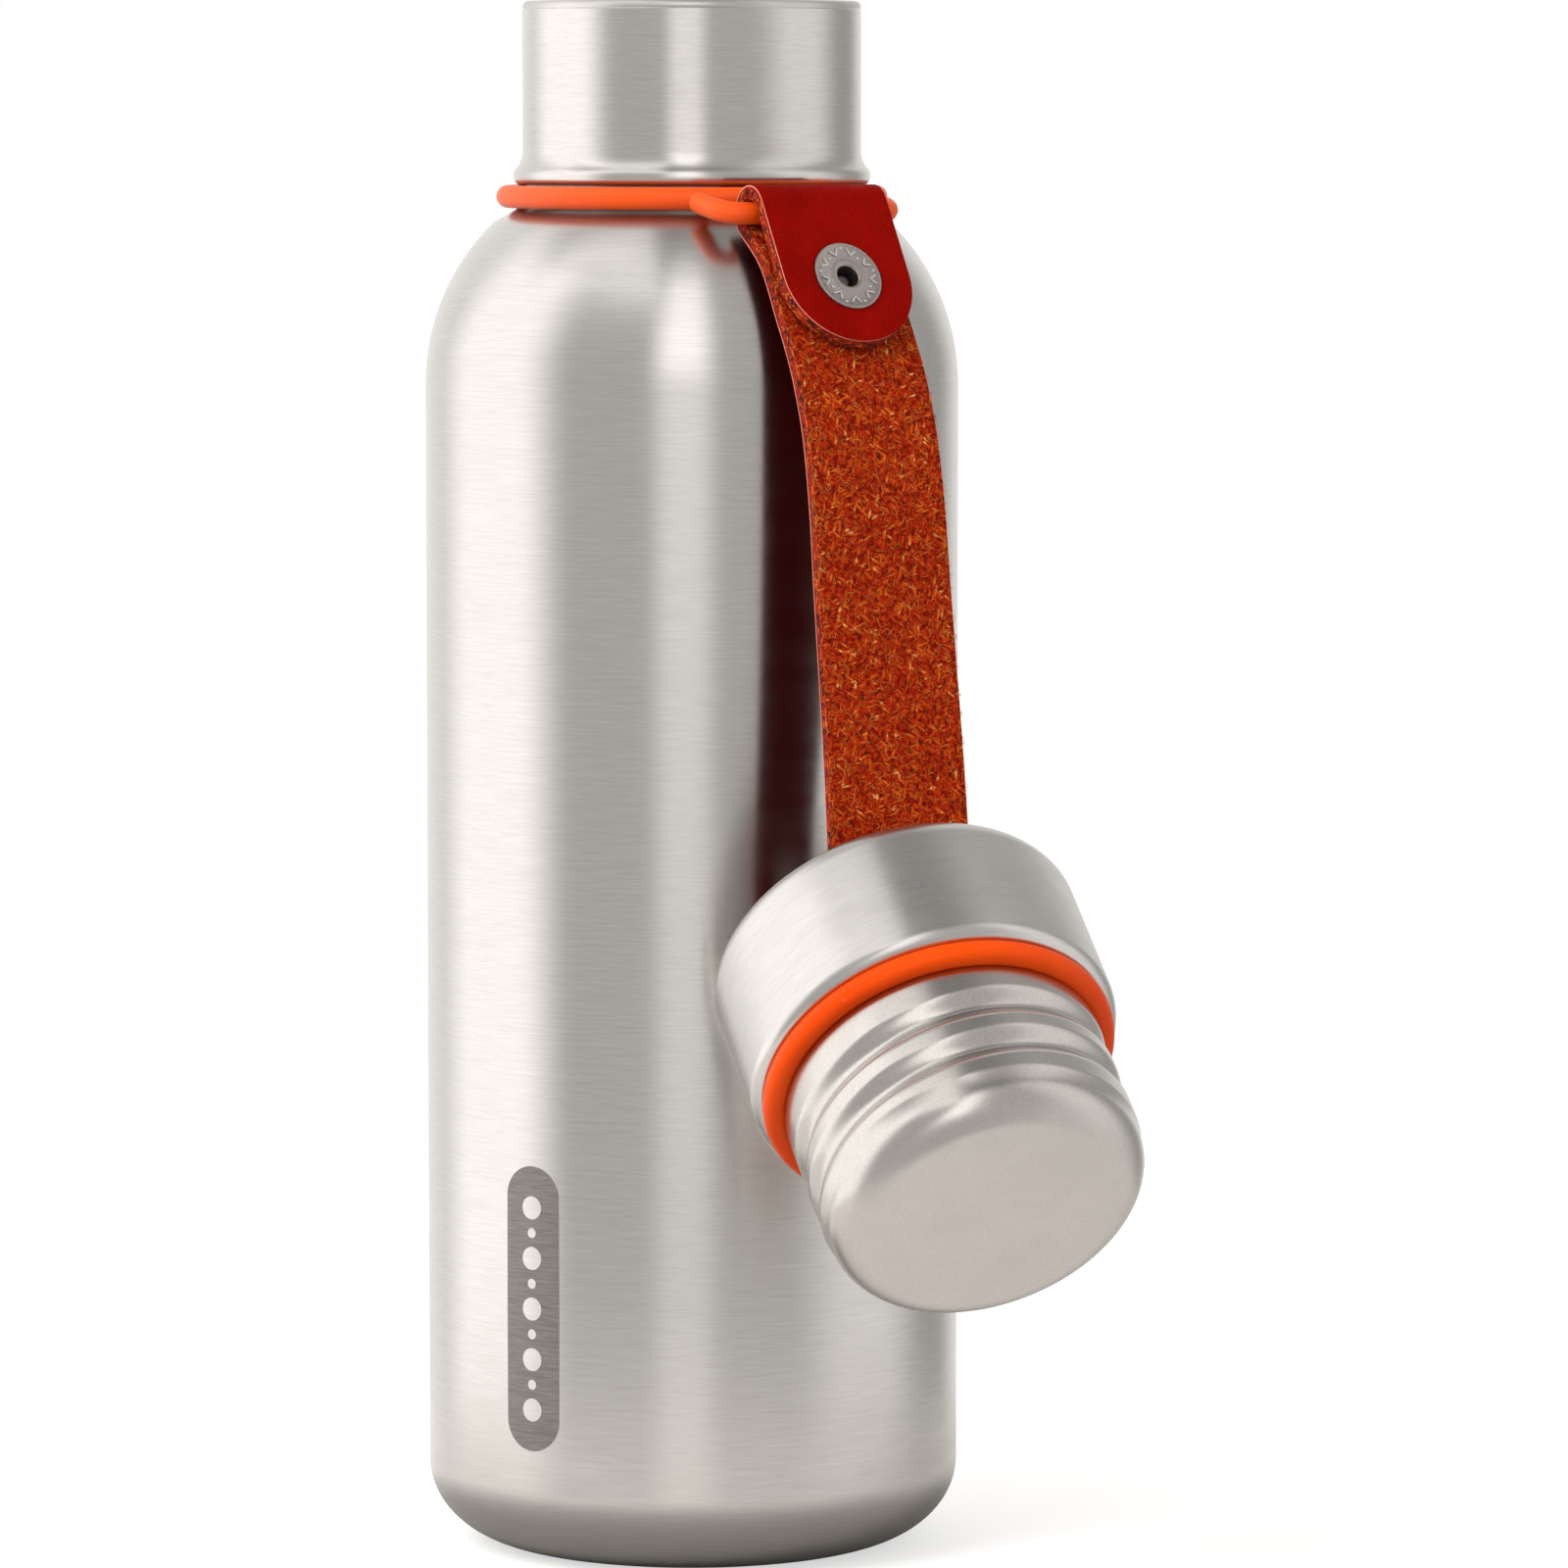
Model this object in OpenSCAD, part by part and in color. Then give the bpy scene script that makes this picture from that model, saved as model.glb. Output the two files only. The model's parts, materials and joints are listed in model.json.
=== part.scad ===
// Double-walled steel bottle with a carry strap and a screw-in stopper.
// The base sits on z = 0, the bottle's axis is Z, and the strap hangs on the -Y side.

/* [Bottle] */
// Outer radius of the straight body
body_r = 35; // [34.5:0.1:35.5]
// Height of the drinking rim above the base
rim_z = 203.6; // [203:0.2:206]
// Height where the shoulder starts to curve in
shoulder_z = 153.5; // [152.5:0.5:154]
// Radius of the shoulder's curve
shoulder_r = 29.5; // [29:0.1:29.8]
// Outer radius of the neck collar
neck_r = 22.2; // [22:0.1:22.4]
// Thickness of the outer steel wall
wall = 0.6; // [0.5:0.05:0.7]
// Vacuum gap between the two walls of the body
vacuum_gap = 3; // [2:0.5:4]

/* [Thread] */
// Rise of the thread in one turn
pitch = 6.5; // [6:0.25:7]
// Radius of the thread's root inside the neck
thread_root_r = 20.8; // [20.7:0.05:20.85]
// Height of the rolled ridge inside the neck
neck_ridge_h = 0.65; // [0.5:0.05:0.7]
// Height of the rolled ridge on the plug
plug_ridge_h = 1.1; // [0.8:0.1:1.2]

/* [Strap] */
// Width of the strap
strap_w = 18.6; // [16:0.2:18.6]
// Thickness of the strap
strap_t = 1.8; // [1.5:0.1:1.8]
// Direction in which the strap hangs, turned from -Y towards +X
strap_az = 31; // [29:0.5:33]
// Lean of the folded flap from the vertical
flap_lean = 30; // [28:1:32]
// Distance from the bail to the snap
snap_s = 11.3; // [11:0.1:12]

/* [Silicone band] */
// Radius of the band's cord
cord_r = 1.5; // [1.4:0.05:1.55]
// Centre radius of the band around the neck
band_r = 24.2; // [24.1:0.05:24.3]

/* [Stopper] */
// Outer radius of the stopper's shell
cap_r = 23.8; // [23.5:0.1:24]
// Height of the stopper's shell
cap_h = 21; // [20.6:0.1:21.4]
// Length of the plug below the shell
plug_h = 25.6; // [23:0.2:26]
// Downward tilt of the stopper's axis where it hangs
cap_tilt = 40; // [38:0.5:42]
// Turn of the stopper away from the strap's own direction
cap_turn = -10.4; // [-12:0.2:-9]

/* [Hidden] */
$fn = 96;

// Bottle
corner_r = 13.5;                       // base corner, measured along the radius
corner_h = 11;                         // base corner, measured along the axis
base_r = body_r - corner_r;            // flat of the base
flange_r = 18.5;                       // inner edge of the turned-in base flange
shoulder_c = body_r - shoulder_r;      // radius of the shoulder curve's centre
shoulder_end = 46;                     // angle where the shoulder meets the neck
groove_r = 22;                         // groove that holds the silicone band
groove_z = rim_z - 26.6;
bead_z = rim_z - 22.8;                 // centre of the bead above the groove
bead_r = 1.45;
collar_z = rim_z - 20.2;               // foot of the straight collar
lip_h = 1;                             // height of the rolled rim
inner_wall = 0.5;
inner_r = body_r - wall - vacuum_gap - inner_wall;
liner_r = thread_root_r + inner_wall;  // outside of the threaded neck
liner_shoulder_r = shoulder_r - wall - vacuum_gap;
floor_z = 5;
floor_corner = 6;
thread_z = rim_z - 19;                 // start of the thread in the neck
thread_turns = 1.75;

// Band and bail
band_z = rim_z - 25.5;
bar_rho = 30.4;                        // bail bar, out from the bottle's axis
bar_z = rim_z - 27.3;
bail_w = strap_w / 2 + 3.35;           // sideways place of the bail's legs
bail_bend = 3;

// Strap, in the upright plane that it hangs in: s along the flap, n out of it
fit_gap = 0.3;
fold_r = cord_r + fit_gap + strap_t / 2;
flap_n = fold_r;
layer_gap = 1;                         // room for the snap between the two layers
strap_n = flap_n - strap_t - layer_gap;
fold_start = 92;
fold_end = 232;
turn_start = 18;                       // where the strap starts to turn towards the stopper
run = [[7.2, strap_n - 0.12], [7.7, strap_n], [15.2, strap_n], [19, strap_n + 0.05], [24, -0.3],
       [31, -1.5], [40, -4.4], [50, -8.3], [62, -12.4], [74, -16], [82, -18.2]];
bend_gap = 0.7;                        // half of the open gap at the strap's lower bend
flap_tip = strap_w / 2;

// Stopper, in its own frame: z from the top towards the plug's end, y up the strap
cap_top = [25.5, -47.4, rim_z - 119.3];
bend_y = 7;
end_n = fit_gap + strap_t / 2;         // strap's middle above the stopper's top
end_tip = 10;
rivet_r = 1.52;
cap_wall = 0.8;
seal_z = cap_h + 1.1;
seal_r = 1.6;
seal_ring_r = 21.2;
plug_r = 19.5;
plug_end_z = cap_h + plug_h;
plug_end_r = 20.05;
plug_corner = 5;
plug_wall = 0.6;
seat_z = seal_z - seal_r;
insert_z = 8;                          // inner end of the plug, against the insert

// Helpers
function arc(c, r, a, b, n) =
    [for (i = [0:n]) let (t = a + (b - a) * i / n) [c[0] + r[0] * cos(t), c[1] + r[1] * sin(t)]];
function ring_faces(k, m) = [for (i = [0:k - 2], j = [0:m - 1], f = [0, 1])
    let (a = i * m + j, b = i * m + (j + 1) % m)
    f == 0 ? [a, b, b + m] : [a, b + m, a + m]];
function end_faces(k, m) = [[for (j = [0:m - 1]) m - 1 - j], [for (j = [0:m - 1]) (k - 1) * m + j]];

function reverse(l) = [for (i = [1:len(l)]) l[len(l) - i]];

// A solid through a list of closed sections that all have the same number of points
module skin(sections) {
    k = len(sections);
    m = len(sections[0]);
    polyhedron([for (s = sections, p = s) p], concat(ring_faces(k, m), end_faces(k, m)), convexity = 6);
}

// A rolled ridge that climbs a wall; side is 1 outwards and -1 inwards
module ridge(wall_r, height, z0, turns, side) {
    steps = round(24 * turns);
    skin([for (i = [0:steps])
        let (a = 360 * turns * i / steps,
             ramp = min(1, i / 4, (steps - i) / 4),
             h = 0.05 + height * sin(90 * ramp),
             z = z0 + pitch * a / 360,
             root = wall_r - side * 0.25,
             half = 1.9,
             pts = [[root, z - half], [wall_r + side * h * 0.75, z - half * 0.5],
                    [wall_r + side * h, z], [wall_r + side * h * 0.75, z + half * 0.5],
                    [root, z + half]],
             order = side > 0 ? [0, 1, 2, 3, 4] : [4, 3, 2, 1, 0])
        [for (o = order) [pts[o][0] * cos(a), pts[o][0] * sin(a), pts[o][1]]]]);
}

module strap_plane() {
    rotate([0, 0, strap_az - 90])
        translate([bar_rho, 0, bar_z])
            children();
}

// Moves x to the flap's outward normal and z to the way up along it
module flap_plane() {
    strap_plane()
        rotate([0, -flap_lean, 0])
            children();
}

module cap_place() {
    translate(cap_top)
        rotate([90 + cap_tilt, 0, cap_az])
            children();
}

// Bottle
function shell_side(t) = concat(
    arc([base_r, corner_h], [corner_r - t, corner_h - t], 270, 360, 12),
    arc([shoulder_c, shoulder_z], [shoulder_r - t, shoulder_r - t], 0, shoulder_end, 14));

module outer_shell() {
    neck_in = liner_r + 0.2;
    color("silver")
        rotate_extrude()
            polygon(concat(
                [[flange_r, 0]],
                shell_side(0),
                [[groove_r, groove_z], [groove_r, bead_z - bead_r]],
                arc([groove_r, bead_z], [bead_r, bead_r], -75, 55, 8),
                [[neck_r, collar_z], [neck_r, rim_z - lip_h], [neck_in, rim_z - lip_h],
                 [neck_in, groove_z - 0.3]],
                reverse(shell_side(wall)),
                [[flange_r, wall]]));
}

module outer_bottom() {
    color("silver")
        difference() {
            translate([0, 0, wall])
                cylinder(r = 20, h = wall);
            translate([0, 0, -1])
                cylinder(r = 0.8, h = 4);
        }
}

module base_plate() {
    color("silver")
        difference() {
            cylinder(r = flange_r - 0.3, h = 0.5);
            translate([0, 0, -0.1])
                difference() {
                    cylinder(r = 13, h = 0.3);
                    translate([0, 0, -1])
                        cylinder(r = 12.2, h = 3);
                }
        }
}

module vacuum_seal() {
    color("dimgray")
        translate([0, 0, wall]) {
            cylinder(r = 0.8, h = wall);
            translate([0, 0, wall])
                cylinder(r = 2, h = 0.7);
        }
}

module inner_vessel() {
    bend = acos((liner_r - shoulder_c) / liner_shoulder_r);
    bend_in = acos((thread_root_r - shoulder_c) / (liner_shoulder_r - inner_wall));
    color("gainsboro")
        union() {
            rotate_extrude()
                polygon(concat(
                    [[inner_r + inner_wall, floor_z + floor_corner]],
                    arc([shoulder_c, shoulder_z], [liner_shoulder_r, liner_shoulder_r], 0, bend, 12),
                    [[liner_r, rim_z - lip_h], [neck_r, rim_z - lip_h]],
                    arc([(neck_r + thread_root_r) / 2, rim_z - lip_h],
                        [(neck_r - thread_root_r) / 2, lip_h], 15, 165, 8),
                    [[thread_root_r, rim_z - lip_h]],
                    reverse(arc([shoulder_c, shoulder_z],
                        [liner_shoulder_r - inner_wall, liner_shoulder_r - inner_wall], 0, bend_in, 12)),
                    [[inner_r, floor_z + floor_corner]]));
            ridge(thread_root_r, neck_ridge_h, thread_z, thread_turns, -1);
        }
}

module inner_bottom() {
    outer = inner_r + inner_wall;
    c = [outer - floor_corner, floor_z + floor_corner];
    color("gainsboro")
        rotate_extrude()
            polygon(concat(
                [[0, floor_z]],
                arc(c, [floor_corner, floor_corner], 270, 360, 8),
                reverse(arc(c, [floor_corner - inner_wall, floor_corner - inner_wall], 270, 360, 8)),
                [[0, floor_z + inner_wall]]));
}

module getter() {
    color("dimgray")
        translate([8, 0, floor_z - 1.6])
            cylinder(r = 5, h = 1.6);
}

// Silicone band: a ring round the neck and a bail that carries the strap
module neck_band() {
    drop = atan((band_z - bar_z) / (bar_rho - 21));
    leg = bar_rho - 21 - bail_bend;
    color("orangered")
        union() {
            translate([0, 0, band_z])
                rotate_extrude()
                    translate([band_r, 0])
                        circle(r = cord_r);
            strap_plane()
                rotate([0, drop, 0]) {
                    rotate([90, 0, 0])
                        cylinder(r = cord_r, h = 2 * (bail_w - bail_bend), center = true);
                    for (side = [-1, 1])
                        mirror([0, side > 0 ? 1 : 0, 0]) {
                            translate([-bail_bend, -(bail_w - bail_bend), 0])
                                rotate([0, 0, -90])
                                    rotate_extrude(angle = 90)
                                        translate([bail_bend, 0])
                                            circle(r = cord_r);
                            translate([-bail_bend - leg, -bail_w, 0])
                                rotate([0, 90, 0])
                                    cylinder(r = cord_r, h = leg);
                        }
                }
        }
}

// From distances along and out of the flap to distances out and up
function sn(p) = [p[0] * sin(flap_lean) + p[1] * cos(flap_lean),
                  -p[0] * cos(flap_lean) + p[1] * sin(flap_lean)];
cap_az = strap_az + cap_turn;
cap_up = [sin(cap_az) * sin(cap_tilt), -cos(cap_az) * sin(cap_tilt), cos(cap_tilt)];
cap_axis = [sin(cap_az) * cos(cap_tilt), -cos(cap_az) * cos(cap_tilt), -sin(cap_tilt)];
bend_point = cap_top + bend_y * cap_up - end_n * cap_axis;
bend_rho = bend_point[0] * sin(strap_az) - bend_point[1] * cos(strap_az);
bend_w = bend_point[0] * cos(strap_az) + bend_point[1] * sin(strap_az);
bend_rel = [bend_rho - bar_rho, bend_point[2] - bar_z];
run_end = sn(run[len(run) - 1]);
end_dir = (bend_rel - run_end) / norm(bend_rel - run_end);
line = concat(
    arc([0, 0], [fold_r, fold_r], fold_start, fold_end, 9),
    [for (p = run) sn(p)],
    [bend_rel - bend_gap * end_dir]);
function tangent(i) = let (a = line[max(0, i - 1)], b = line[min(len(line) - 1, i + 1)])
    (b - a) / norm(b - a);
function along(p) = p[0] * sin(flap_lean) - p[1] * cos(flap_lean);
function share(i) = max(0, (along(line[i]) - turn_start) / (along(bend_rel) - turn_start));

module strap_body() {
    strap_plane()
        skin([for (i = [0:len(line) - 1])
            let (p = line[i],
                 t = i == 0 ? [-sin(fold_start), cos(fold_start)] : tangent(i),
                 turn = cap_turn * share(i),
                 q = [p[0], bend_w * share(i) ^ 3, p[1]],
                 w = [-sin(turn), cos(turn), 0],
                 n = cross([t[0] * cos(turn), t[0] * sin(turn), t[1]], w))
            [for (c = [[-1, -1], [1, -1], [1, 1], [-1, 1]])
                q + w * c[0] * strap_w / 2 + n * c[1] * strap_t / 2]]);
}

module snap_axis(n) {
    flap_plane()
        translate([n, 0, -snap_s])
            rotate([0, 90, 0])
                children();
}

module strap() {
    color("sienna")
        difference() {
            strap_body();
            snap_axis(strap_n - strap_t)
                cylinder(r = 1.1, h = 2 * strap_t);
        }
}

module snap_stud() {
    color("silver")
        snap_axis(strap_n + strap_t / 2) {
            cylinder(r = 3.4, h = 0.25);
            cylinder(r = 1.05, h = 1.2);
            translate([0, 0, 1.2])
                cylinder(r1 = 1.05, r2 = 0.8, h = 0.3);
        }
}

module snap_post() {
    color("silver")
        snap_axis(strap_n - strap_t / 2) {
            translate([0, 0, -0.4])
                cylinder(r1 = 3.2, r2 = 3.6, h = 0.4);
            cylinder(r = 1.1, h = strap_t);
        }
}

module strap_flap() {
    color("firebrick")
        flap_plane()
            translate([flap_n - strap_t / 2, 0, 0])
                rotate([0, 90, 0])
                    difference() {
                        union() {
                            translate([0, -strap_w / 2, 0])
                                cube([snap_s, strap_w, strap_t]);
                            translate([snap_s, 0, 0])
                                cylinder(r = flap_tip, h = strap_t);
                        }
                        translate([snap_s, 0, -1])
                            cylinder(r = 2, h = strap_t + 2);
                        translate([-20, -strap_w, -1])
                            cube([20, 2 * strap_w, strap_t + 2]);
                    }
}

module snap_eyelet() {
    color("silver")
        snap_axis(flap_n - strap_t / 2)
            rotate_extrude()
                polygon(concat(
                    [[1.5, 0], [1.95, 0], [1.95, strap_t], [4.75, strap_t]],
                    arc([4.3, strap_t + 0.1], [0.45, 0.4], 0, 90, 4),
                    [[2.3, strap_t + 0.4]],
                    arc([1.9, strap_t + 0.25], [0.4, 0.3], 60, 180, 4)));
}

module snap_socket() {
    color("silver")
        snap_axis(flap_n - strap_t / 2 - 0.6)
            difference() {
                cylinder(r = 3.9, h = 0.6);
                translate([0, 0, -1])
                    cylinder(r = 1.5, h = 3);
            }
}

module strap_end() {
    color("sienna")
        cap_place()
            translate([0, 0, -end_n - strap_t / 2])
                difference() {
                    union() {
                        translate([-strap_w / 2, 0, 0])
                            cube([strap_w, bend_y - bend_gap, strap_t]);
                        intersection() {
                            cylinder(r = end_tip, h = strap_t);
                            translate([-strap_w / 2, -20, 0])
                                cube([strap_w, 20, strap_t]);
                        }
                    }
                    translate([0, 0, -1])
                        cylinder(r = rivet_r, h = 5);
                }
}

module rivet() {
    color("silver")
        cap_place() {
            translate([0, 0, -end_n - strap_t / 2 - 1])
                cylinder(r1 = 3.4, r2 = 4.2, h = 1);
            translate([0, 0, -end_n - strap_t / 2])
                cylinder(r = rivet_r, h = end_n + strap_t / 2 + 1.9);
            translate([0, 0, 1.9])
                cylinder(r1 = 2.2, r2 = 1.8, h = 0.5);
        }
}

module rivet_washer() {
    color("silver")
        cap_place()
            translate([0, 0, cap_wall + fit_gap])
                difference() {
                    cylinder(r = 3.6, h = 0.8);
                    translate([0, 0, -1])
                        cylinder(r = rivet_r, h = 3);
                }
}

// Stopper
module cap_shell() {
    edge = 3.5;
    lip_in = 22.4;
    lip_edge = 1.6;
    color("silver")
        cap_place()
            rotate_extrude()
                polygon(concat(
                    [[rivet_r + 0.08, cap_wall], [rivet_r + 0.08, 0]],
                    arc([cap_r - edge, edge], [edge, edge], 270, 360, 8),
                    arc([lip_in, cap_h - lip_edge], [cap_r - lip_in, lip_edge], 0, 90, 6),
                    [[lip_in, cap_h - 2.4], [cap_r - cap_wall, cap_h - 3.2]],
                    reverse(arc([cap_r - edge, edge], [edge - cap_wall, edge - cap_wall], 270, 360, 8))));
}

module cap_body() {
    pocket_r = 4.4;
    pocket_z = 3.2;
    rim_r = 22;
    top_z = cap_wall + 0.1;
    side_r = cap_r - cap_wall - 0.1;
    color("white")
        cap_place()
            rotate_extrude()
                polygon([[pocket_r, top_z], [19.8, top_z], [side_r, 4], [side_r, cap_h - 3.4],
                         [rim_r, cap_h - 2.6], [rim_r, seat_z], [plug_r, seat_z], [plug_r, insert_z],
                         [0, insert_z], [0, pocket_z], [pocket_r, pocket_z]]);
}

module cap_seal() {
    color("orangered")
        cap_place()
            translate([0, 0, seal_z])
                rotate_extrude()
                    translate([seal_ring_r, 0])
                        circle(r = seal_r);
}

module cap_plug() {
    neck_end = plug_end_z - 8;
    in_r = plug_r - plug_wall;
    c = [plug_end_r - plug_corner, plug_end_z - plug_corner];
    color("silver")
        cap_place()
            union() {
                rotate_extrude()
                    polygon(concat(
                        [[in_r, insert_z], [plug_r, insert_z]],
                        [[plug_r, neck_end], [plug_end_r, neck_end + 3]],
                        arc(c, [plug_corner, plug_corner], 0, 90, 8),
                        [[0, plug_end_z], [0, plug_end_z - plug_wall]],
                        arc(c - [0.6, 0], [plug_corner - plug_wall, plug_corner - plug_wall], 90, 0, 6),
                        [[in_r, plug_end_z - plug_corner - 1]]));
                ridge(plug_r, plug_ridge_h, seal_z + 5, thread_turns, 1);
            }
}

module cap_foam() {
    color("ivory")
        cap_place()
            translate([0, 0, insert_z])
                cylinder(r = plug_r - plug_wall, h = plug_end_z - plug_corner - 1 - insert_z);
}

outer_shell();
outer_bottom();
base_plate();
vacuum_seal();
inner_vessel();
inner_bottom();
getter();
neck_band();
strap();
snap_stud();
snap_post();
strap_flap();
snap_eyelet();
snap_socket();
strap_end();
rivet();
rivet_washer();
cap_shell();
cap_body();
cap_seal();
cap_plug();
cap_foam();
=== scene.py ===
import json
import math
import random
import bpy
from mathutils import Matrix, Vector


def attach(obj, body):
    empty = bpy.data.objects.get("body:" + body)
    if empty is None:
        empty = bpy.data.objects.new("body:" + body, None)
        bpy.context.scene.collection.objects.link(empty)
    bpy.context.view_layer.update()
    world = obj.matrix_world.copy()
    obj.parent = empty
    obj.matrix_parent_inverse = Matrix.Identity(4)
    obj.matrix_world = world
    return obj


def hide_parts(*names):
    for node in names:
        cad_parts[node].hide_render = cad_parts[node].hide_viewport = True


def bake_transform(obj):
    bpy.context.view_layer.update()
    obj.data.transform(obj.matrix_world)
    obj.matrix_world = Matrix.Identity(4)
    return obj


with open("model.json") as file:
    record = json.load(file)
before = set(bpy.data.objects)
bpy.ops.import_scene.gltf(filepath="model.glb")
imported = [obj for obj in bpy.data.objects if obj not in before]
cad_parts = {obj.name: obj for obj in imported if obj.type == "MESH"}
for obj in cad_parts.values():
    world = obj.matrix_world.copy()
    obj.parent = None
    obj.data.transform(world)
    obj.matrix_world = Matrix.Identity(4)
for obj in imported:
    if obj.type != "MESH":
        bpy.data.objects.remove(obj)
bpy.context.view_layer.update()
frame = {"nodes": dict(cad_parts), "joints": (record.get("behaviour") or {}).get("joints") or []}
mm = 0.001
weld = 0.002 * mm  # points closer than this are merged

# the camera comes first
cameraSetup = {"place": (0.0121, -1.05, 0.191), "pitch": 4.92, "lens": 183.04, "sensor": 36.0}


def placeCamera():
    tilt = math.radians(90 - cameraSetup["pitch"])
    bpy.ops.object.camera_add(location=cameraSetup["place"], rotation=(tilt, 0, 0))
    camera = bpy.context.object
    camera.data.lens = cameraSetup["lens"]
    camera.data.sensor_width = cameraSetup["sensor"]
    camera.data.clip_start = 0.05
    bpy.context.scene.camera = camera


placeCamera()
print("camera placed")

# where things are, from the frame's joints
joints = {j["name"]: j for j in frame["joints"]}
swivel = joints["cap_swivel"]
barPivot = Vector(joints["strap_lift"]["pos_m"])
bendPivot = Vector(joints["cap_fold"]["pos_m"])
capTop = Vector(swivel["pos_m"])
capAxis = Vector(swivel["axis"]).normalized()
acrossCap = -Vector(joints["cap_fold"]["axis"]).normalized()
capUp = capAxis.cross(acrossCap).normalized()
acrossBar = -Vector(joints["strap_lift"]["axis"]).normalized()
barReach = Vector((barPivot.x, barPivot.y, 0))


def placeOf(origin, x, y, z):
    # a place with its own directions
    return Matrix.Translation(origin) @ Matrix((x, y, z)).transposed().to_4x4()


bottlePlace = Matrix.Identity(4)
capPlace = placeOf(capTop, acrossCap, capUp, capAxis)
strapPlace = placeOf(barPivot, barReach.normalized(), acrossBar, Vector((0, 0, 1)))
bendCorner = strapPlace.inverted() @ bendPivot / mm  # where the strap's end bends, in its own frame


def selectNothing():
    if bpy.context.object and bpy.context.object.mode != "OBJECT":
        bpy.ops.object.mode_set(mode="OBJECT")
    bpy.ops.object.select_all(action="DESELECT")


def pick(piece):
    selectNothing()
    piece.select_set(True)
    bpy.context.view_layer.objects.active = piece


def settle(piece, place=None):
    if place is not None:
        piece.matrix_world = place @ piece.matrix_world
    pick(piece)
    bpy.ops.object.transform_apply(location=True, rotation=True, scale=True)
    return piece


def smooth(piece, angle=30):
    pick(piece)
    bpy.ops.object.shade_smooth_by_angle(angle=math.radians(angle))
    return piece


def applyModifier(piece, kind, **values):
    pick(piece)
    modifier = piece.modifiers.new(kind.lower(), kind)
    for key, value in values.items():
        setattr(modifier, key, value)
    bpy.ops.object.modifier_apply(modifier=modifier.name)


def arc(centre, radii, start, end, steps):
    turns = [math.radians(start + (end - start) * i / steps) for i in range(steps + 1)]
    return [(centre[0] + radii[0] * math.cos(t), centre[1] + radii[1] * math.sin(t)) for t in turns]


def turned(name, outline, steps=128, place=None, angle=30):
    # a point is drawn along the outline in millimetres (radius, height), then spun round the axis
    selectNothing()
    bpy.ops.mesh.primitive_plane_add(size=mm, location=(0, 0, 0))
    piece = bpy.context.object
    piece.name = name
    bpy.ops.object.mode_set(mode="EDIT")
    bpy.ops.mesh.select_all(action="SELECT")
    bpy.ops.mesh.merge(type="CENTER")
    bpy.ops.transform.translate(value=(outline[0][0] * mm, 0, outline[0][1] * mm))
    for here, there in zip(outline, outline[1:]):
        step = ((there[0] - here[0]) * mm, 0, (there[1] - here[1]) * mm)
        bpy.ops.mesh.extrude_region_move(TRANSFORM_OT_translate={"value": step})
    bpy.ops.mesh.select_all(action="SELECT")
    bpy.ops.mesh.spin(steps=steps, angle=2 * math.pi, center=(0, 0, 0), axis=(0, 0, 1))
    bpy.ops.mesh.select_all(action="SELECT")
    bpy.ops.mesh.remove_doubles(threshold=weld)
    bpy.ops.mesh.normals_make_consistent(inside=False)
    bpy.ops.object.mode_set(mode="OBJECT")
    settle(piece, place)
    return smooth(piece, angle)


def joined(pieces):
    selectNothing()
    for piece in pieces:
        piece.select_set(True)
    bpy.context.view_layer.objects.active = pieces[0]
    bpy.ops.object.join()
    return pieces[0]


def copied(piece):
    # a copy with a mesh of its own
    pick(piece)
    bpy.ops.object.duplicate(linked=False)
    return bpy.context.object


def cleared(pieces):
    for piece in pieces:
        bpy.data.objects.remove(piece)


def coated(piece, *materials):
    piece.data.materials.clear()
    for material in materials:
        piece.data.materials.append(material)


def finishPiece(piece, body, replaced=()):
    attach(piece, body)
    if replaced:
        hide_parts(*replaced)


def setInputs(tree, node, values):
    # a plain value is typed in, and a socket is linked
    for key, value in values.items():
        if isinstance(value, bpy.types.NodeSocket):
            tree.links.new(value, node.inputs[key])
        else:
            node.inputs[key].default_value = value


def addNode(tree, kind, inputs=None, **settings):
    node = tree.nodes.new(kind)
    for key, value in settings.items():
        setattr(node, key, value)
    setInputs(tree, node, inputs or {})
    return node


def calc(tree, operation, a, b=0.0, c=0.0):
    return addNode(tree, "ShaderNodeMath", {0: a, 1: b, 2: c}, operation=operation).outputs[0]


def vecMath(tree, operation, a, b=None):
    inputs = {0: a}
    if b is not None:
        inputs["Scale" if operation == "SCALE" else 1] = b
    node = addNode(tree, "ShaderNodeVectorMath", inputs, operation=operation)
    return node.outputs["Value" if operation == "LENGTH" else "Vector"]


def mixColour(tree, share, a, b, blend="MIX"):
    # sockets 6, 7 and 2 are the Mix node's colour ones
    inputs = {0: share, 6: a, 7: b}
    return addNode(tree, "ShaderNodeMix", inputs, data_type="RGBA", blend_type=blend).outputs[2]


def remap(tree, value, low, high, toLow, toHigh, soft=False):
    node = addNode(
        tree, "ShaderNodeMapRange",
        {"Value": value, "From Min": low, "From Max": high, "To Min": toLow, "To Max": toHigh},
        interpolation_type="SMOOTHSTEP" if soft else "LINEAR",
    )
    return node.outputs["Result"]


def noise(tree, vector, scale, detail=2.0, rough=0.5, w=None):
    inputs = {"Vector": vector, "Scale": scale, "Detail": detail, "Roughness": rough}
    if w is not None:
        inputs["W"] = w
    node = addNode(tree, "ShaderNodeTexNoise", inputs, noise_dimensions="4D" if w is not None else "3D")
    return node.outputs["Fac"]


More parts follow.
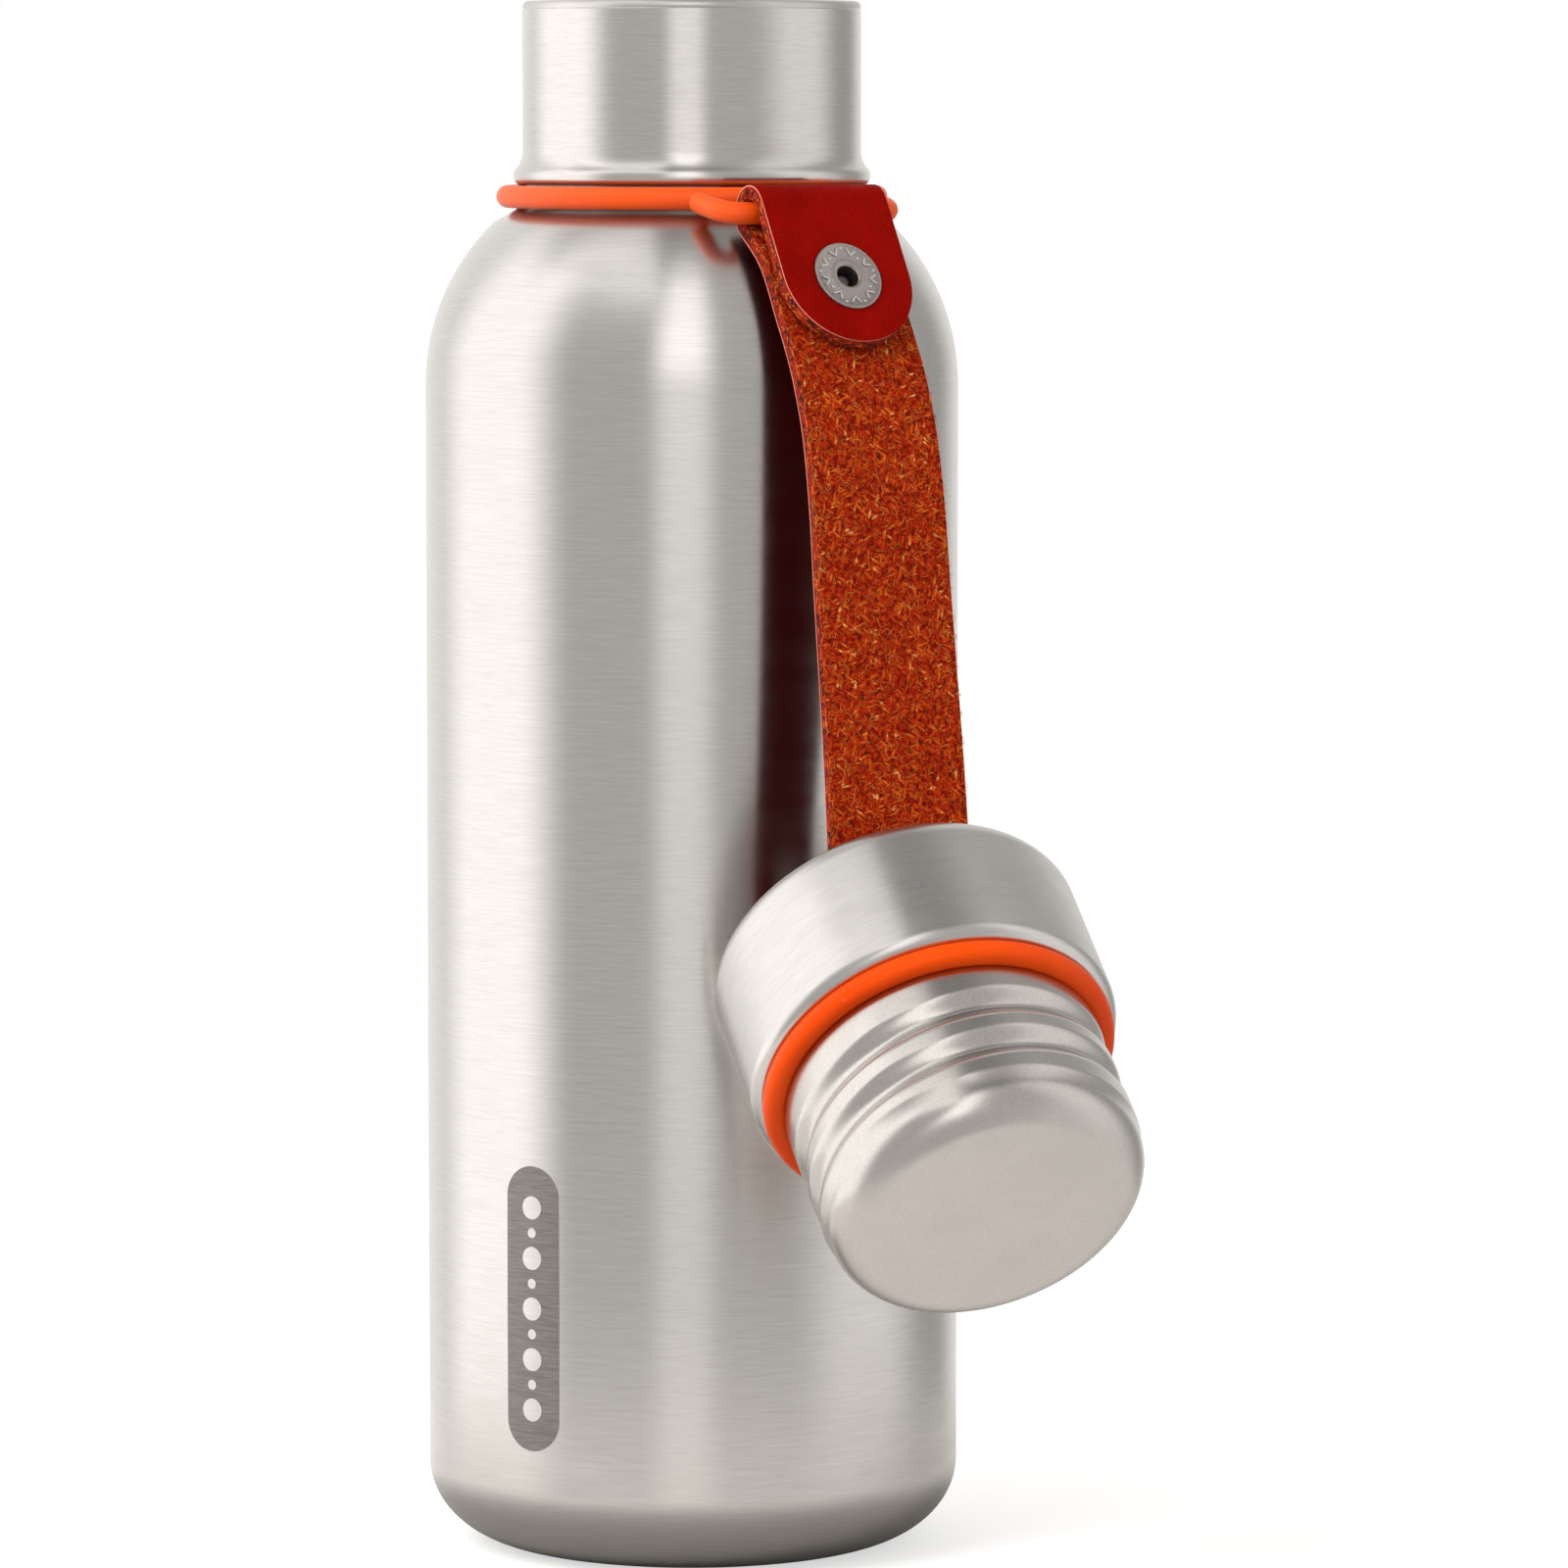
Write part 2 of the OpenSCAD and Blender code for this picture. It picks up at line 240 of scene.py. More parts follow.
def newGroup(name, inputs, outputs):
    group = bpy.data.node_groups.new(name, "ShaderNodeTree")
    for label, kind, value in inputs:
        socket = group.interface.new_socket(name=label, in_out="INPUT", socket_type=kind)
        if value is not None:
            socket.default_value = value
    for label, kind in outputs:
        group.interface.new_socket(name=label, in_out="OUTPUT", socket_type=kind)
    return group, group.nodes.new("NodeGroupInput").outputs, group.nodes.new("NodeGroupOutput").inputs


number, vector3 = "NodeSocketFloat", "NodeSocketVector"


def makeBrushedLines():
    # fine lines that run round the axis of a turned piece, on its walls and on its flats
    group, given, out = newGroup(
        "brushedLines",
        [("Vector", vector3, None), ("Lines", number, 3000.0), ("Run", number, 6.0),
         ("Depth", number, 1.0)],
        [("Line", number), ("Band", number), ("Height", number)],
    )
    parts = addNode(group, "ShaderNodeSeparateXYZ", {0: given["Vector"]}).outputs
    flat = addNode(group, "ShaderNodeCombineXYZ", {0: parts[0], 1: parts[1]}).outputs[0]
    radius = vecMath(group, "LENGTH", flat)
    way = vecMath(group, "SCALE", vecMath(group, "NORMALIZE", flat), given["Run"])
    wayParts = addNode(group, "ShaderNodeSeparateXYZ", {0: way}).outputs
    height = calc(group, "MULTIPLY", parts[2], given["Lines"])
    place = addNode(group, "ShaderNodeCombineXYZ", {0: wayParts[0], 1: wayParts[1], 2: height}).outputs[0]
    radial = calc(group, "MULTIPLY", radius, given["Lines"])
    fine = noise(group, place, 1.0, 3.0, 0.65, radial)
    slow = vecMath(group, "MULTIPLY", place, (0.35, 0.35, 0.12))
    band = noise(group, slow, 1.0, 2.0, 0.6, calc(group, "MULTIPLY", radial, 0.12))
    group.links.new(fine, out["Line"])
    group.links.new(band, out["Band"])
    group.links.new(calc(group, "MULTIPLY", fine, given["Depth"]), out["Height"])
    return group


def makeEdgeWear():
    group, given, out = newGroup(
        "edgeWear",
        [("Vector", vector3, None), ("Amount", number, 0.5), ("Break", number, 900.0)],
        [("Mask", number)],
    )
    edge = addNode(group, "ShaderNodeNewGeometry").outputs["Pointiness"]
    raised = remap(group, edge, 0.505, 0.56, 0.0, 1.0)
    broken = remap(group, noise(group, given["Vector"], given["Break"], 3.0), 0.35, 0.65, 0.3, 1.0)
    mask = calc(group, "MULTIPLY", calc(group, "MULTIPLY", raised, broken), given["Amount"])
    group.links.new(mask, out["Mask"])
    return group


def makeFineDust():
    group, given, out = newGroup(
        "fineDust",
        [("Vector", vector3, None), ("Spots", number, 700.0), ("Share", number, 0.1)],
        [("Mask", number), ("Smear", number)],
    )
    inputs = {"Vector": given["Vector"], "Scale": given["Spots"]}
    cells = addNode(group, "ShaderNodeTexVoronoi", inputs).outputs
    spot = remap(group, cells["Distance"], 0.06, 0.14, 1.0, 0.0)
    pickOne = addNode(group, "ShaderNodeSeparateColor", {0: cells["Color"]}).outputs[0]
    chosen = calc(group, "LESS_THAN", pickOne, given["Share"])
    group.links.new(calc(group, "MULTIPLY", spot, chosen), out["Mask"])
    group.links.new(noise(group, given["Vector"], 55.0, 3.0, 0.6), out["Smear"])
    return group


def makeFibreMat():
    # short curled fibres pressed into a mat: light strands over a dark ground
    group, given, out = newGroup(
        "fibreMat",
        [("Vector", vector3, None), ("Strands", number, 900.0), ("Curl", number, 0.0012)],
        [("Strand", number), ("Clump", number), ("Pit", number), ("Height", number)],
    )
    bend = addNode(
        group, "ShaderNodeTexNoise",
        {"Vector": given["Vector"], "Scale": 620.0, "Detail": 1.0, "Roughness": 0.5},
    ).outputs["Color"]
    offset = vecMath(group, "SCALE", vecMath(group, "SUBTRACT", bend, (0.5, 0.5, 0.5)), given["Curl"])
    bent = vecMath(group, "ADD", given["Vector"], offset)
    strands = []
    for turn, share in ((0.35, 1.0), (1.35, 0.8), (2.5, 0.9)):
        turnedWay = addNode(
            group, "ShaderNodeMapping",
            {"Vector": bent, "Rotation": (0.0, 0.0, turn), "Scale": (1.0, 4.0, 1.0)},
            vector_type="TEXTURE",
        ).outputs[0]
        strandScale = calc(group, "MULTIPLY", given["Strands"], share)
        cells = addNode(
            group, "ShaderNodeTexVoronoi",
            {"Vector": turnedWay, "Scale": strandScale, "Randomness": 1.0},
            feature="F1",
        ).outputs
        tone = addNode(group, "ShaderNodeSeparateColor", {0: cells["Color"]}).outputs[0]
        chosen = remap(group, tone, 0.45, 0.6, 0.0, 1.0)
        line = remap(group, cells["Distance"], 0.16, 0.42, 1.0, 0.0, True)
        strands.append(calc(group, "MULTIPLY", line, chosen))
    strand = calc(group, "MAXIMUM", calc(group, "MAXIMUM", strands[0], strands[1]), strands[2])
    clump = noise(group, given["Vector"], 330.0, 4.0, 0.6)
    pit = remap(group, noise(group, bent, 1100.0, 2.0, 0.5), 0.36, 0.5, 1.0, 0.0)
    group.links.new(strand, out["Strand"])
    group.links.new(clump, out["Clump"])
    group.links.new(pit, out["Pit"])
    raised = calc(group, "MULTIPLY_ADD", strand, 0.6, calc(group, "MULTIPLY", clump, 0.5))
    group.links.new(calc(group, "MULTIPLY_ADD", pit, -0.35, raised), out["Height"])
    return group


def makeLeatherGrain():
    group, given, out = newGroup(
        "leatherGrain",
        [("Vector", vector3, None), ("Pebbles", number, 1500.0)],
        [("Pebble", number), ("Crease", number), ("Mottle", number)],
    )
    cells = addNode(
        group, "ShaderNodeTexVoronoi", {"Vector": given["Vector"], "Scale": given["Pebbles"]},
        feature="DISTANCE_TO_EDGE",
    ).outputs
    group.links.new(remap(group, cells["Distance"], 0.0, 0.28, 0.0, 1.0, True), out["Pebble"])
    group.links.new(noise(group, given["Vector"], 420.0, 4.0, 0.6), out["Crease"])
    group.links.new(noise(group, given["Vector"], 130.0, 3.0, 0.55), out["Mottle"])
    return group


brushedLines = makeBrushedLines()
edgeWear = makeEdgeWear()
fineDust = makeFineDust()
fibreMat = makeFibreMat()
leatherGrain = makeLeatherGrain()


def useGroup(tree, group, inputs):
    return addNode(tree, "ShaderNodeGroup", inputs, node_tree=group).outputs


def newMaterial(name):
    material = bpy.data.materials.new(name)
    material.use_nodes = True
    tree = material.node_tree
    return material, tree, tree.nodes["Principled BSDF"]


def pieceVector(tree, place):
    # object coordinates measured from the piece's own axis
    objectVector = addNode(tree, "ShaderNodeTexCoord").outputs["Object"]
    inputs = {"Vector": objectVector, "Location": place.translation, "Rotation": place.to_euler()}
    return addNode(tree, "ShaderNodeMapping", inputs, vector_type="TEXTURE").outputs[0]


def aroundDirection(tree, vector, place):
    parts = addNode(tree, "ShaderNodeSeparateXYZ", {0: vector}).outputs
    flipped = calc(tree, "MULTIPLY", parts[1], -1.0)
    around = addNode(tree, "ShaderNodeCombineXYZ", {0: flipped, 1: parts[0]}).outputs[0]
    turnedBack = addNode(
        tree, "ShaderNodeMapping", {"Vector": around, "Rotation": place.to_euler()}, vector_type="VECTOR"
    ).outputs[0]
    inWorld = addNode(
        tree, "ShaderNodeVectorTransform", {0: turnedBack},
        vector_type="VECTOR", convert_from="OBJECT", convert_to="WORLD",
    ).outputs[0]
    return vecMath(tree, "NORMALIZE", inWorld)


def bumpOf(tree, height, distance, strength=1.0):
    inputs = {"Height": height, "Distance": distance, "Strength": strength}
    return addNode(tree, "ShaderNodeBump", inputs).outputs[0]


brushedFinish = {"light": (0.66, 0.64, 0.615, 1), "dark": (0.575, 0.555, 0.53, 1),
                 "worn": (0.72, 0.70, 0.67, 1), "rough": 0.22, "stretch": 0.80, "lines": 4200.0, "run": 7.0,
                 "depth": 0.0018 * mm, "edgeWear": 0.2, "dustSpots": 420.0, "dustShare": 0.05}


def brushedSteel(name, place, finish):
    material, tree, shader = newMaterial(name)
    here = pieceVector(tree, place)
    lines = useGroup(tree, brushedLines, {"Vector": here, "Lines": finish["lines"], "Run": finish["run"]})
    wear = useGroup(tree, edgeWear, {"Vector": here, "Amount": finish["edgeWear"]})["Mask"]
    specks = {"Vector": here, "Spots": finish["dustSpots"], "Share": finish["dustShare"]}
    dust = useGroup(tree, fineDust, specks)
    tone = remap(tree, lines["Line"], 0.3, 0.7, 0.0, 1.0)
    colour = mixColour(tree, tone, finish["dark"], finish["light"])
    colour = mixColour(tree, remap(tree, lines["Band"], 0.3, 0.7, 0.0, 0.3), colour, finish["dark"])
    colour = mixColour(tree, wear, colour, finish["worn"])
    roughness = remap(tree, lines["Band"], 0.25, 0.75, finish["rough"] - 0.03, finish["rough"] + 0.03)
    roughness = calc(tree, "MULTIPLY_ADD", dust["Smear"], 0.04, roughness)
    setInputs(tree, shader, {
        "Base Color": colour, "Metallic": 1.0, "Roughness": roughness,
        "Anisotropic": finish["stretch"], "Anisotropic Rotation": 0.25,
        "Tangent": aroundDirection(tree, here, place),
        "Normal": bumpOf(tree, lines["Line"], finish["depth"]),
    })
    return material


satinFinish = {"light": (0.62, 0.59, 0.56, 1), "dark": (0.54, 0.51, 0.48, 1), "rough": 0.22,
               "grain": 2600.0, "cloud": 160.0, "depth": 0.0015 * mm, "end": 46.2, "endBand": 1.6,
               "endRough": 0.16}


def satinSteel(name, place, finish):
    material, tree, shader = newMaterial(name)
    here = pieceVector(tree, place)
    grain = noise(tree, here, finish["grain"], 3.0, 0.7)
    cloud = noise(tree, here, finish["cloud"], 4.0, 0.6)
    # the flat end is blasted, so it is duller than the wall
    height = addNode(tree, "ShaderNodeSeparateXYZ", {0: here}).outputs[2]
    end = finish["end"] * mm
    blasted = remap(tree, height, end - finish["endBand"] * mm, end, 0.0, finish["endRough"], True)
    colour = mixColour(tree, remap(tree, grain, 0.3, 0.7, 0.0, 1.0), finish["dark"], finish["light"])
    colour = mixColour(tree, remap(tree, cloud, 0.35, 0.7, 0.0, 0.4), colour, finish["dark"])
    roughness = remap(tree, cloud, 0.3, 0.7, finish["rough"] - 0.03, finish["rough"] + 0.04)
    setInputs(tree, shader, {
        "Base Color": colour, "Metallic": 1.0, "Roughness": calc(tree, "ADD", roughness, blasted),
        "Normal": bumpOf(tree, grain, finish["depth"]),
    })
    return material


siliconeFinish = {"colour": (0.87, 0.10, 0.003, 1), "deep": (0.77, 0.07, 0.002, 1),
                  "speck": (1.0, 0.34, 0.12, 1), "rough": 0.42, "shine": 0.35, "glow": 0.25,
                  "glowColour": (1.0, 0.25, 0.1), "glowDepth": 1.2, "depth": 0.012}


def silicone(name, finish):
    material, tree, shader = newMaterial(name)
    here = addNode(tree, "ShaderNodeTexCoord").outputs["Object"]
    dust = useGroup(tree, fineDust, {"Vector": here, "Spots": 520.0, "Share": 0.12})
    mottle = noise(tree, here, 900.0, 3.0, 0.6)
    smear = remap(tree, dust["Smear"], 0.3, 0.7, 0.0, 0.6)
    colour = mixColour(tree, smear, finish["colour"], finish["deep"])
    colour = mixColour(tree, calc(tree, "MULTIPLY", dust["Mask"], 0.4), colour, finish["speck"])
    roughness = remap(tree, mottle, 0.3, 0.7, finish["rough"] - 0.06, finish["rough"] + 0.08)
    height = calc(tree, "ADD", mottle, calc(tree, "MULTIPLY", dust["Mask"], 0.8))
    setInputs(tree, shader, {
        "Base Color": colour, "Roughness": roughness, "Specular IOR Level": finish["shine"],
        "Subsurface Weight": finish["glow"], "Subsurface Radius": finish["glowColour"],
        "Subsurface Scale": finish["glowDepth"] * mm,
        "Normal": bumpOf(tree, height, finish["depth"] * mm),
    })
    return material


def strapVector(tree):
    # along, across and out of the strap, carried by the mesh so that it bends with the leather
    return addNode(tree, "ShaderNodeAttribute", attribute_name="strapWay").outputs["Vector"]


# the skin's darkest tone, used past the fold, is a painted shade
leatherFinish = {"skin": (0.31, 0.003, 0.0005, 1), "skinDark": (0.23, 0.002, 0.0004, 1),
                 "paintedShade": (0.035, 0.003, 0.002, 1), "paintedShadeFrom": 24, "paintedShadeTo": 32,
                 "gap": (0.03, 0.003, 0.002, 1), "strayDark": (0.40, 0.05, 0.006, 1),
                 "strayLight": (0.84, 0.34, 0.07, 1),
                 "ground": (0.18, 0.005, 0.001, 1), "middle": (0.385, 0.022, 0.003, 1),
                 "strand": (0.65, 0.115, 0.012, 1), "clump": (0.90, 0.45, 0.14, 1),
                 "pit": (0.09, 0.004, 0.001, 1), "rim": (0.72, 0.24, 0.17, 1), "pebbles": 1900.0,
                 "long": {"Strands": 2100.0, "Curl": 0.0005}, "fine": {"Strands": 4300.0, "Curl": 0.0003},
                 "cut": {"Strands": 1900.0, "Curl": 0.0006}, "skinDepth": 0.03, "fleshDepth": 0.10,
                 "cutDepth": 0.12, "skinLine": 0.73, "underLine": 0.62}


def leatherSkin(name, finish):
    material, tree, shader = newMaterial(name)
    here = strapVector(tree)
    grain = useGroup(tree, leatherGrain, {"Vector": here, "Pebbles": finish["pebbles"]})
    wear = useGroup(tree, edgeWear, {"Vector": here, "Amount": 0.6, "Break": 1400.0})["Mask"]
    mottle = remap(tree, grain["Mottle"], 0.3, 0.7, 0.0, 1.0)
    colour = mixColour(tree, mottle, finish["skin"], finish["skinDark"])
    shade = remap(tree, grain["Pebble"], 0.0, 1.0, 0.82, 1.0)
    grey = addNode(tree, "ShaderNodeCombineColor", {0: shade, 1: shade, 2: shade}).outputs[0]
    colour = mixColour(tree, 1.0, colour, grey, "MULTIPLY")
    # past the fold, the skin that faces the bottle is darkened along the strap: a painted shade on the same
    # leather
    along = addNode(tree, "ShaderNodeSeparateXYZ", {0: here}).outputs[0]
    paintedShade = remap(tree, along, finish["paintedShadeFrom"] * mm, finish["paintedShadeTo"] * mm, 0.0, 0.8, True)
    colour = mixColour(tree, paintedShade, colour, finish["paintedShade"])
    colour = mixColour(tree, wear, colour, finish["rim"])
    height = calc(tree, "MULTIPLY_ADD", grain["Crease"], 0.7, grain["Pebble"])
    setInputs(tree, shader, {
        "Base Color": colour,
        "Roughness": remap(tree, grain["Crease"], 0.3, 0.7, 0.44, 0.58),
        "Specular IOR Level": 0.02,
        "Normal": bumpOf(tree, height, finish["skinDepth"] * mm, 0.7),
    })
    return material


def leatherFlesh(name, finish):
    # a fine felt of crossed fibres: dark red between them, orange where they catch the light
    material, tree, shader = newMaterial(name)
    here = strapVector(tree)
    long = useGroup(tree, fibreMat, {"Vector": here, **finish["long"]})
    fine = useGroup(tree, fibreMat, {"Vector": here, **finish["fine"]})
    felt = remap(tree, noise(tree, here, 1900.0, 3.0, 0.7), 0.42, 0.58, 0.0, 1.0)
    colour = mixColour(tree, felt, finish["ground"], finish["middle"])
    colour = mixColour(tree, calc(tree, "MULTIPLY", fine["Strand"], 0.6), colour, finish["strand"])
    dark = remap(tree, noise(tree, here, 1300.0, 3.0, 0.7), 0.36, 0.47, 0.85, 0.0)
    colour = mixColour(tree, dark, colour, finish["pit"])
    lit = remap(tree, noise(tree, here, 520.0, 3.0, 0.6), 0.40, 0.62, 0.35, 1.0)
    colour = mixColour(tree, calc(tree, "MULTIPLY", long["Strand"], lit), colour, finish["strand"])
    tuft = remap(tree, noise(tree, here, 760.0, 3.0, 0.6), 0.57, 0.65, 0.0, 0.8)
    colour = mixColour(tree, calc(tree, "MULTIPLY", tuft, long["Strand"]), colour, finish["clump"])
    height = calc(tree, "MULTIPLY_ADD", fine["Height"], 0.5, long["Height"])
    setInputs(tree, shader, {
        "Base Color": colour,
        "Roughness": remap(tree, long["Clump"], 0.3, 0.7, 0.72, 0.92),
        "Specular IOR Level": 0.05,
        "Normal": bumpOf(tree, height, finish["fleshDepth"] * mm),
    })
    return material


def leatherCut(name, finish):
    # the cut edge: a thin pale line of skin, a dark line under it, then open fibres
    material, tree, shader = newMaterial(name)
    here = strapVector(tree)
    mat = useGroup(tree, fibreMat, {"Vector": here, **finish["cut"]})
    rise = addNode(tree, "ShaderNodeSeparateXYZ", {0: here}).outputs[2]
    clump = remap(tree, mat["Clump"], 0.4, 0.65, 0.0, 1.0)
    colour = mixColour(tree, clump, finish["ground"], finish["middle"])
    colour = mixColour(tree, calc(tree, "MULTIPLY", mat["Pit"], 0.95), colour, finish["gap"])
    colour = mixColour(tree, calc(tree, "MULTIPLY", mat["Strand"], 0.85), colour, finish["strand"])
    wobble = calc(tree, "MULTIPLY_ADD", noise(tree, here, 900.0, 2.0), 0.10 * mm, rise)
    rim = remap(tree, wobble, finish["skinLine"] * mm, (finish["skinLine"] + 0.07) * mm, 0.0, 1.0)
    fromSkin = calc(tree, "ABSOLUTE", calc(tree, "SUBTRACT", wobble, finish["underLine"] * mm))
    under = remap(tree, fromSkin, 0.03 * mm, 0.14 * mm, 0.85, 0.0)
    colour = mixColour(tree, under, colour, finish["skinDark"])
    colour = mixColour(tree, rim, colour, finish["rim"])
    setInputs(tree, shader, {
        "Base Color": colour,
        "Roughness": remap(tree, mat["Clump"], 0.3, 0.7, 0.7, 0.9),
        "Specular IOR Level": 0.25,
        "Normal": bumpOf(tree, mat["Height"], finish["cutDepth"] * mm),
    })
    return material


def plainPlastic(name, light, dark):
    material, tree, shader = newMaterial(name)
    here = addNode(tree, "ShaderNodeTexCoord").outputs["Object"]
    grain = useGroup(tree, leatherGrain, {"Vector": here, "Pebbles": 2600.0})
    dust = useGroup(tree, fineDust, {"Vector": here, "Spots": 500.0, "Share": 0.06})
    setInputs(tree, shader, {
        "Base Color": mixColour(tree, remap(tree, dust["Smear"], 0.3, 0.7, 0.0, 1.0), light, dark),
        "Roughness": remap(tree, grain["Crease"], 0.3, 0.7, 0.42, 0.58),
        "Normal": bumpOf(tree, grain["Pebble"], 0.008 * mm),
    })
    return material


steelBottle = brushedSteel("steelBottle", bottlePlace, brushedFinish)
steelCap = brushedSteel("steelCap", capPlace, dict(brushedFinish, rough=0.25, stretch=0.55))
steelInside = brushedSteel("steelInside", bottlePlace, dict(brushedFinish, rough=0.36, stretch=0.4))
steelPlug = satinSteel("steelPlug", capPlace, satinFinish)
smallFinish = dict(satinFinish, endRough=0.0)
steelSnap = satinSteel("steelSnap", bottlePlace, dict(
    smallFinish, light=(0.46, 0.415, 0.395, 1), dark=(0.30, 0.265, 0.25, 1), rough=0.38, grain=5000.0))
steelMarks = satinSteel("steelMarks", bottlePlace, dict(
    smallFinish, light=(0.78, 0.73, 0.70, 1), dark=(0.60, 0.55, 0.53, 1), rough=0.34, grain=5000.0))
gunmetal = satinSteel("gunmetal", bottlePlace, dict(
    smallFinish, light=(0.20, 0.18, 0.17, 1), dark=(0.11, 0.10, 0.095, 1), rough=0.36))
getterMetal = satinSteel("getterMetal", bottlePlace, dict(
    smallFinish, light=(0.25, 0.24, 0.23, 1), dark=(0.15, 0.14, 0.14, 1), rough=0.5))
bandSilicone = silicone("bandSilicone", siliconeFinish)
sealSilicone = silicone("sealSilicone", dict(
    siliconeFinish, colour=(0.90, 0.085, 0.001, 1), deep=(0.78, 0.05, 0.001, 1), rough=0.36, shine=0.12))
skinLeather = leatherSkin("skinLeather", leatherFinish)
fleshLeather = leatherFlesh("fleshLeather", leatherFinish)
cutLeather = leatherCut("cutLeather", leatherFinish)
capPlastic = plainPlastic("capPlastic", (0.75, 0.74, 0.70, 1), (0.66, 0.65, 0.61, 1))
foamWhite = plainPlastic("foamWhite", (0.75, 0.73, 0.68, 1), (0.66, 0.64, 0.58, 1))
print("materials made")

# the bottle's outer shell, in millimetres
bottleSize = {"bodyRadius": 35.0, "wall": 0.6, "rim": 203.6, "cornerRadius": 13.5, "cornerHeight": 11.0,
              "flangeRadius": 18.5, "shoulderStart": 153.5, "shoulderRadius": 29.5, "shoulderEnd": 46,
              "grooveRadius": 22.0, "grooveStart": 177.0, "beadCentre": 180.8, "beadRadius": 1.45,
              "neckRadius": 22.2, "collarStart": 183.4, "lipHeight": 1.0, "linerRadius": 21.3,
              "wallRings": (60, 110), "neckRing": 193.0}


def softCorner(before, corner, after, steps=5):
    # a rounded corner between two straight stretches of an outline
    points = []
    for i in range(steps + 1):
        t = i / steps
        a, b, c = (1 - t) ** 2, 2 * t * (1 - t), t * t
        points.append(tuple(a * before[k] + b * corner[k] + c * after[k] for k in (0, 1)))
    return points


def bottleOutline():
    s = bottleSize
    centre = s["bodyRadius"] - s["shoulderRadius"]
    flat = s["bodyRadius"] - s["cornerRadius"]
    neckIn = s["linerRadius"] + 0.2
    outside = [(s["flangeRadius"], 0.25)]
    outside += arc((s["flangeRadius"] + 0.25, 0.25), (0.25, 0.25), 180, 270, 3)[1:]
    outside += arc((flat, s["cornerHeight"]), (s["cornerRadius"], s["cornerHeight"]), 270, 360, 22)
    outside += [(s["bodyRadius"], ring) for ring in s["wallRings"]]
    outside += arc((centre, s["shoulderStart"]), (s["shoulderRadius"],) * 2, 0, s["shoulderEnd"], 22)
    foot = (s["grooveRadius"], s["grooveStart"])
    last = outside[-1]
    near = tuple(foot[k] + (last[k] - foot[k]) * 0.35 for k in (0, 1))
    outside += softCorner(near, foot, (s["grooveRadius"], s["grooveStart"] + 1.0))
    outside += arc((s["grooveRadius"], s["beadCentre"]), (s["beadRadius"],) * 2, -82, 48, 12)
    top = outside[-1]
    outside += softCorner(top, (s["neckRadius"], top[1] + 0.9), (s["neckRadius"], s["collarStart"] + 0.7))
    seam = s["rim"] - s["lipHeight"]
    outside += [(s["neckRadius"], s["neckRing"]), (s["neckRadius"], seam - 0.12)]
    inside = [(s["neckRadius"] - 0.1, seam), (neckIn, seam), (neckIn, s["grooveStart"] - 0.3)]
    t = s["wall"]
    inside += arc((centre, s["shoulderStart"]), (s["shoulderRadius"] - t,) * 2, s["shoulderEnd"], 0, 12)
    inside += arc((flat, s["cornerHeight"]), (s["cornerRadius"] - t, s["cornerHeight"] - t), 360, 270, 12)
    inside += [(s["flangeRadius"], t)]
    outline = outside + inside
    return outline + [outline[0]]


bottleShell = turned("bottleShell", bottleOutline(), 192)
coated(bottleShell, steelBottle)
finishPiece(bottleShell, "bottle", ["outer_shell"])
print("bottle shell turned")

# the inner vessel and the thread rolled into its neck
linerSize = {"radius": 30.9, "wall": 0.5, "floor": 11.0, "shoulderRadius": 25.9, "neckOutside": 21.3,
             "root": 20.8, "threadRings": 54, "threadReach": 3, "plainTop": 1.2}
neckThread = {"rise": -0.65, "start": 184.6, "pitch": 6.5, "turns": (0.0, 1.75), "halfWidth": 1.9,
              "runOut": 0.16}


def threadRise(angle, height, thread):
    # how far a rolled thread stands out of its wall at one place, from 0 to 1, with soft run-outs
    best = 0.0
    first, last = thread["turns"]
    for lap in range(math.ceil(last) + 1):
        along = angle / (2 * math.pi) + lap
        if first <= along <= last:
            away = (height - thread["start"] - thread["pitch"] * along) / thread["halfWidth"]
            if abs(away) < 1:
                ramp = min(1.0, (along - first) / thread["runOut"], (last - along) / thread["runOut"])
                best = max(best, (0.5 + 0.5 * math.cos(math.pi * away)) * math.sin(0.5 * math.pi * ramp))
    return best


def rollThread(piece, place, wall, low, high, thread):
    # moves the points of one straight wall, between two heights, out by the thread's rise
    back = place.inverted()
    for vertex in piece.data.vertices:
        p = back @ vertex.co
        radius = math.hypot(p.x, p.y)
        if abs(radius - wall * mm) < 0.05 * mm and low * mm <= p.z <= high * mm:
            share = threadRise(math.atan2(p.y, p.x) % (2 * math.pi), p.z / mm, thread)
            scale = (radius + thread["rise"] * mm * share) / radius
            vertex.co = place @ Vector((p.x * scale, p.y * scale, p.z))
    piece.data.update()


def linerOutline():
    s, b = linerSize, bottleSize
    centre = b["bodyRadius"] - b["shoulderRadius"]
    bend = math.degrees(math.acos((s["neckOutside"] - centre) / s["shoulderRadius"]))
    bendIn = math.degrees(math.acos((s["root"] - centre) / (s["shoulderRadius"] - s["wall"])))
    seam = b["rim"] - b["lipHeight"]
    middle = (b["neckRadius"] + s["root"]) / 2
    outline = [(s["radius"] + s["wall"], s["floor"])]
    outline += arc((centre, b["shoulderStart"]), (s["shoulderRadius"],) * 2, 0, bend, 16)
    outline += [(s["neckOutside"], seam)]
    outline += [(b["neckRadius"] - 0.1, seam)]
    outline += arc((middle, seam), ((b["neckRadius"] - s["root"]) / 2, b["lipHeight"]), 15, 180, 14)
    top, foot = seam - 0.4, neckThread["start"] - s["threadReach"]
    rings = s["threadRings"]
    outline += [(s["root"], top + (foot - top) * i / rings) for i in range(rings + 1)]
    outline += arc((centre, b["shoulderStart"]), (s["shoulderRadius"] - s["wall"],) * 2, bendIn, 0, 16)
    outline += [(s["radius"], s["floor"])]
    return outline + [outline[0]]


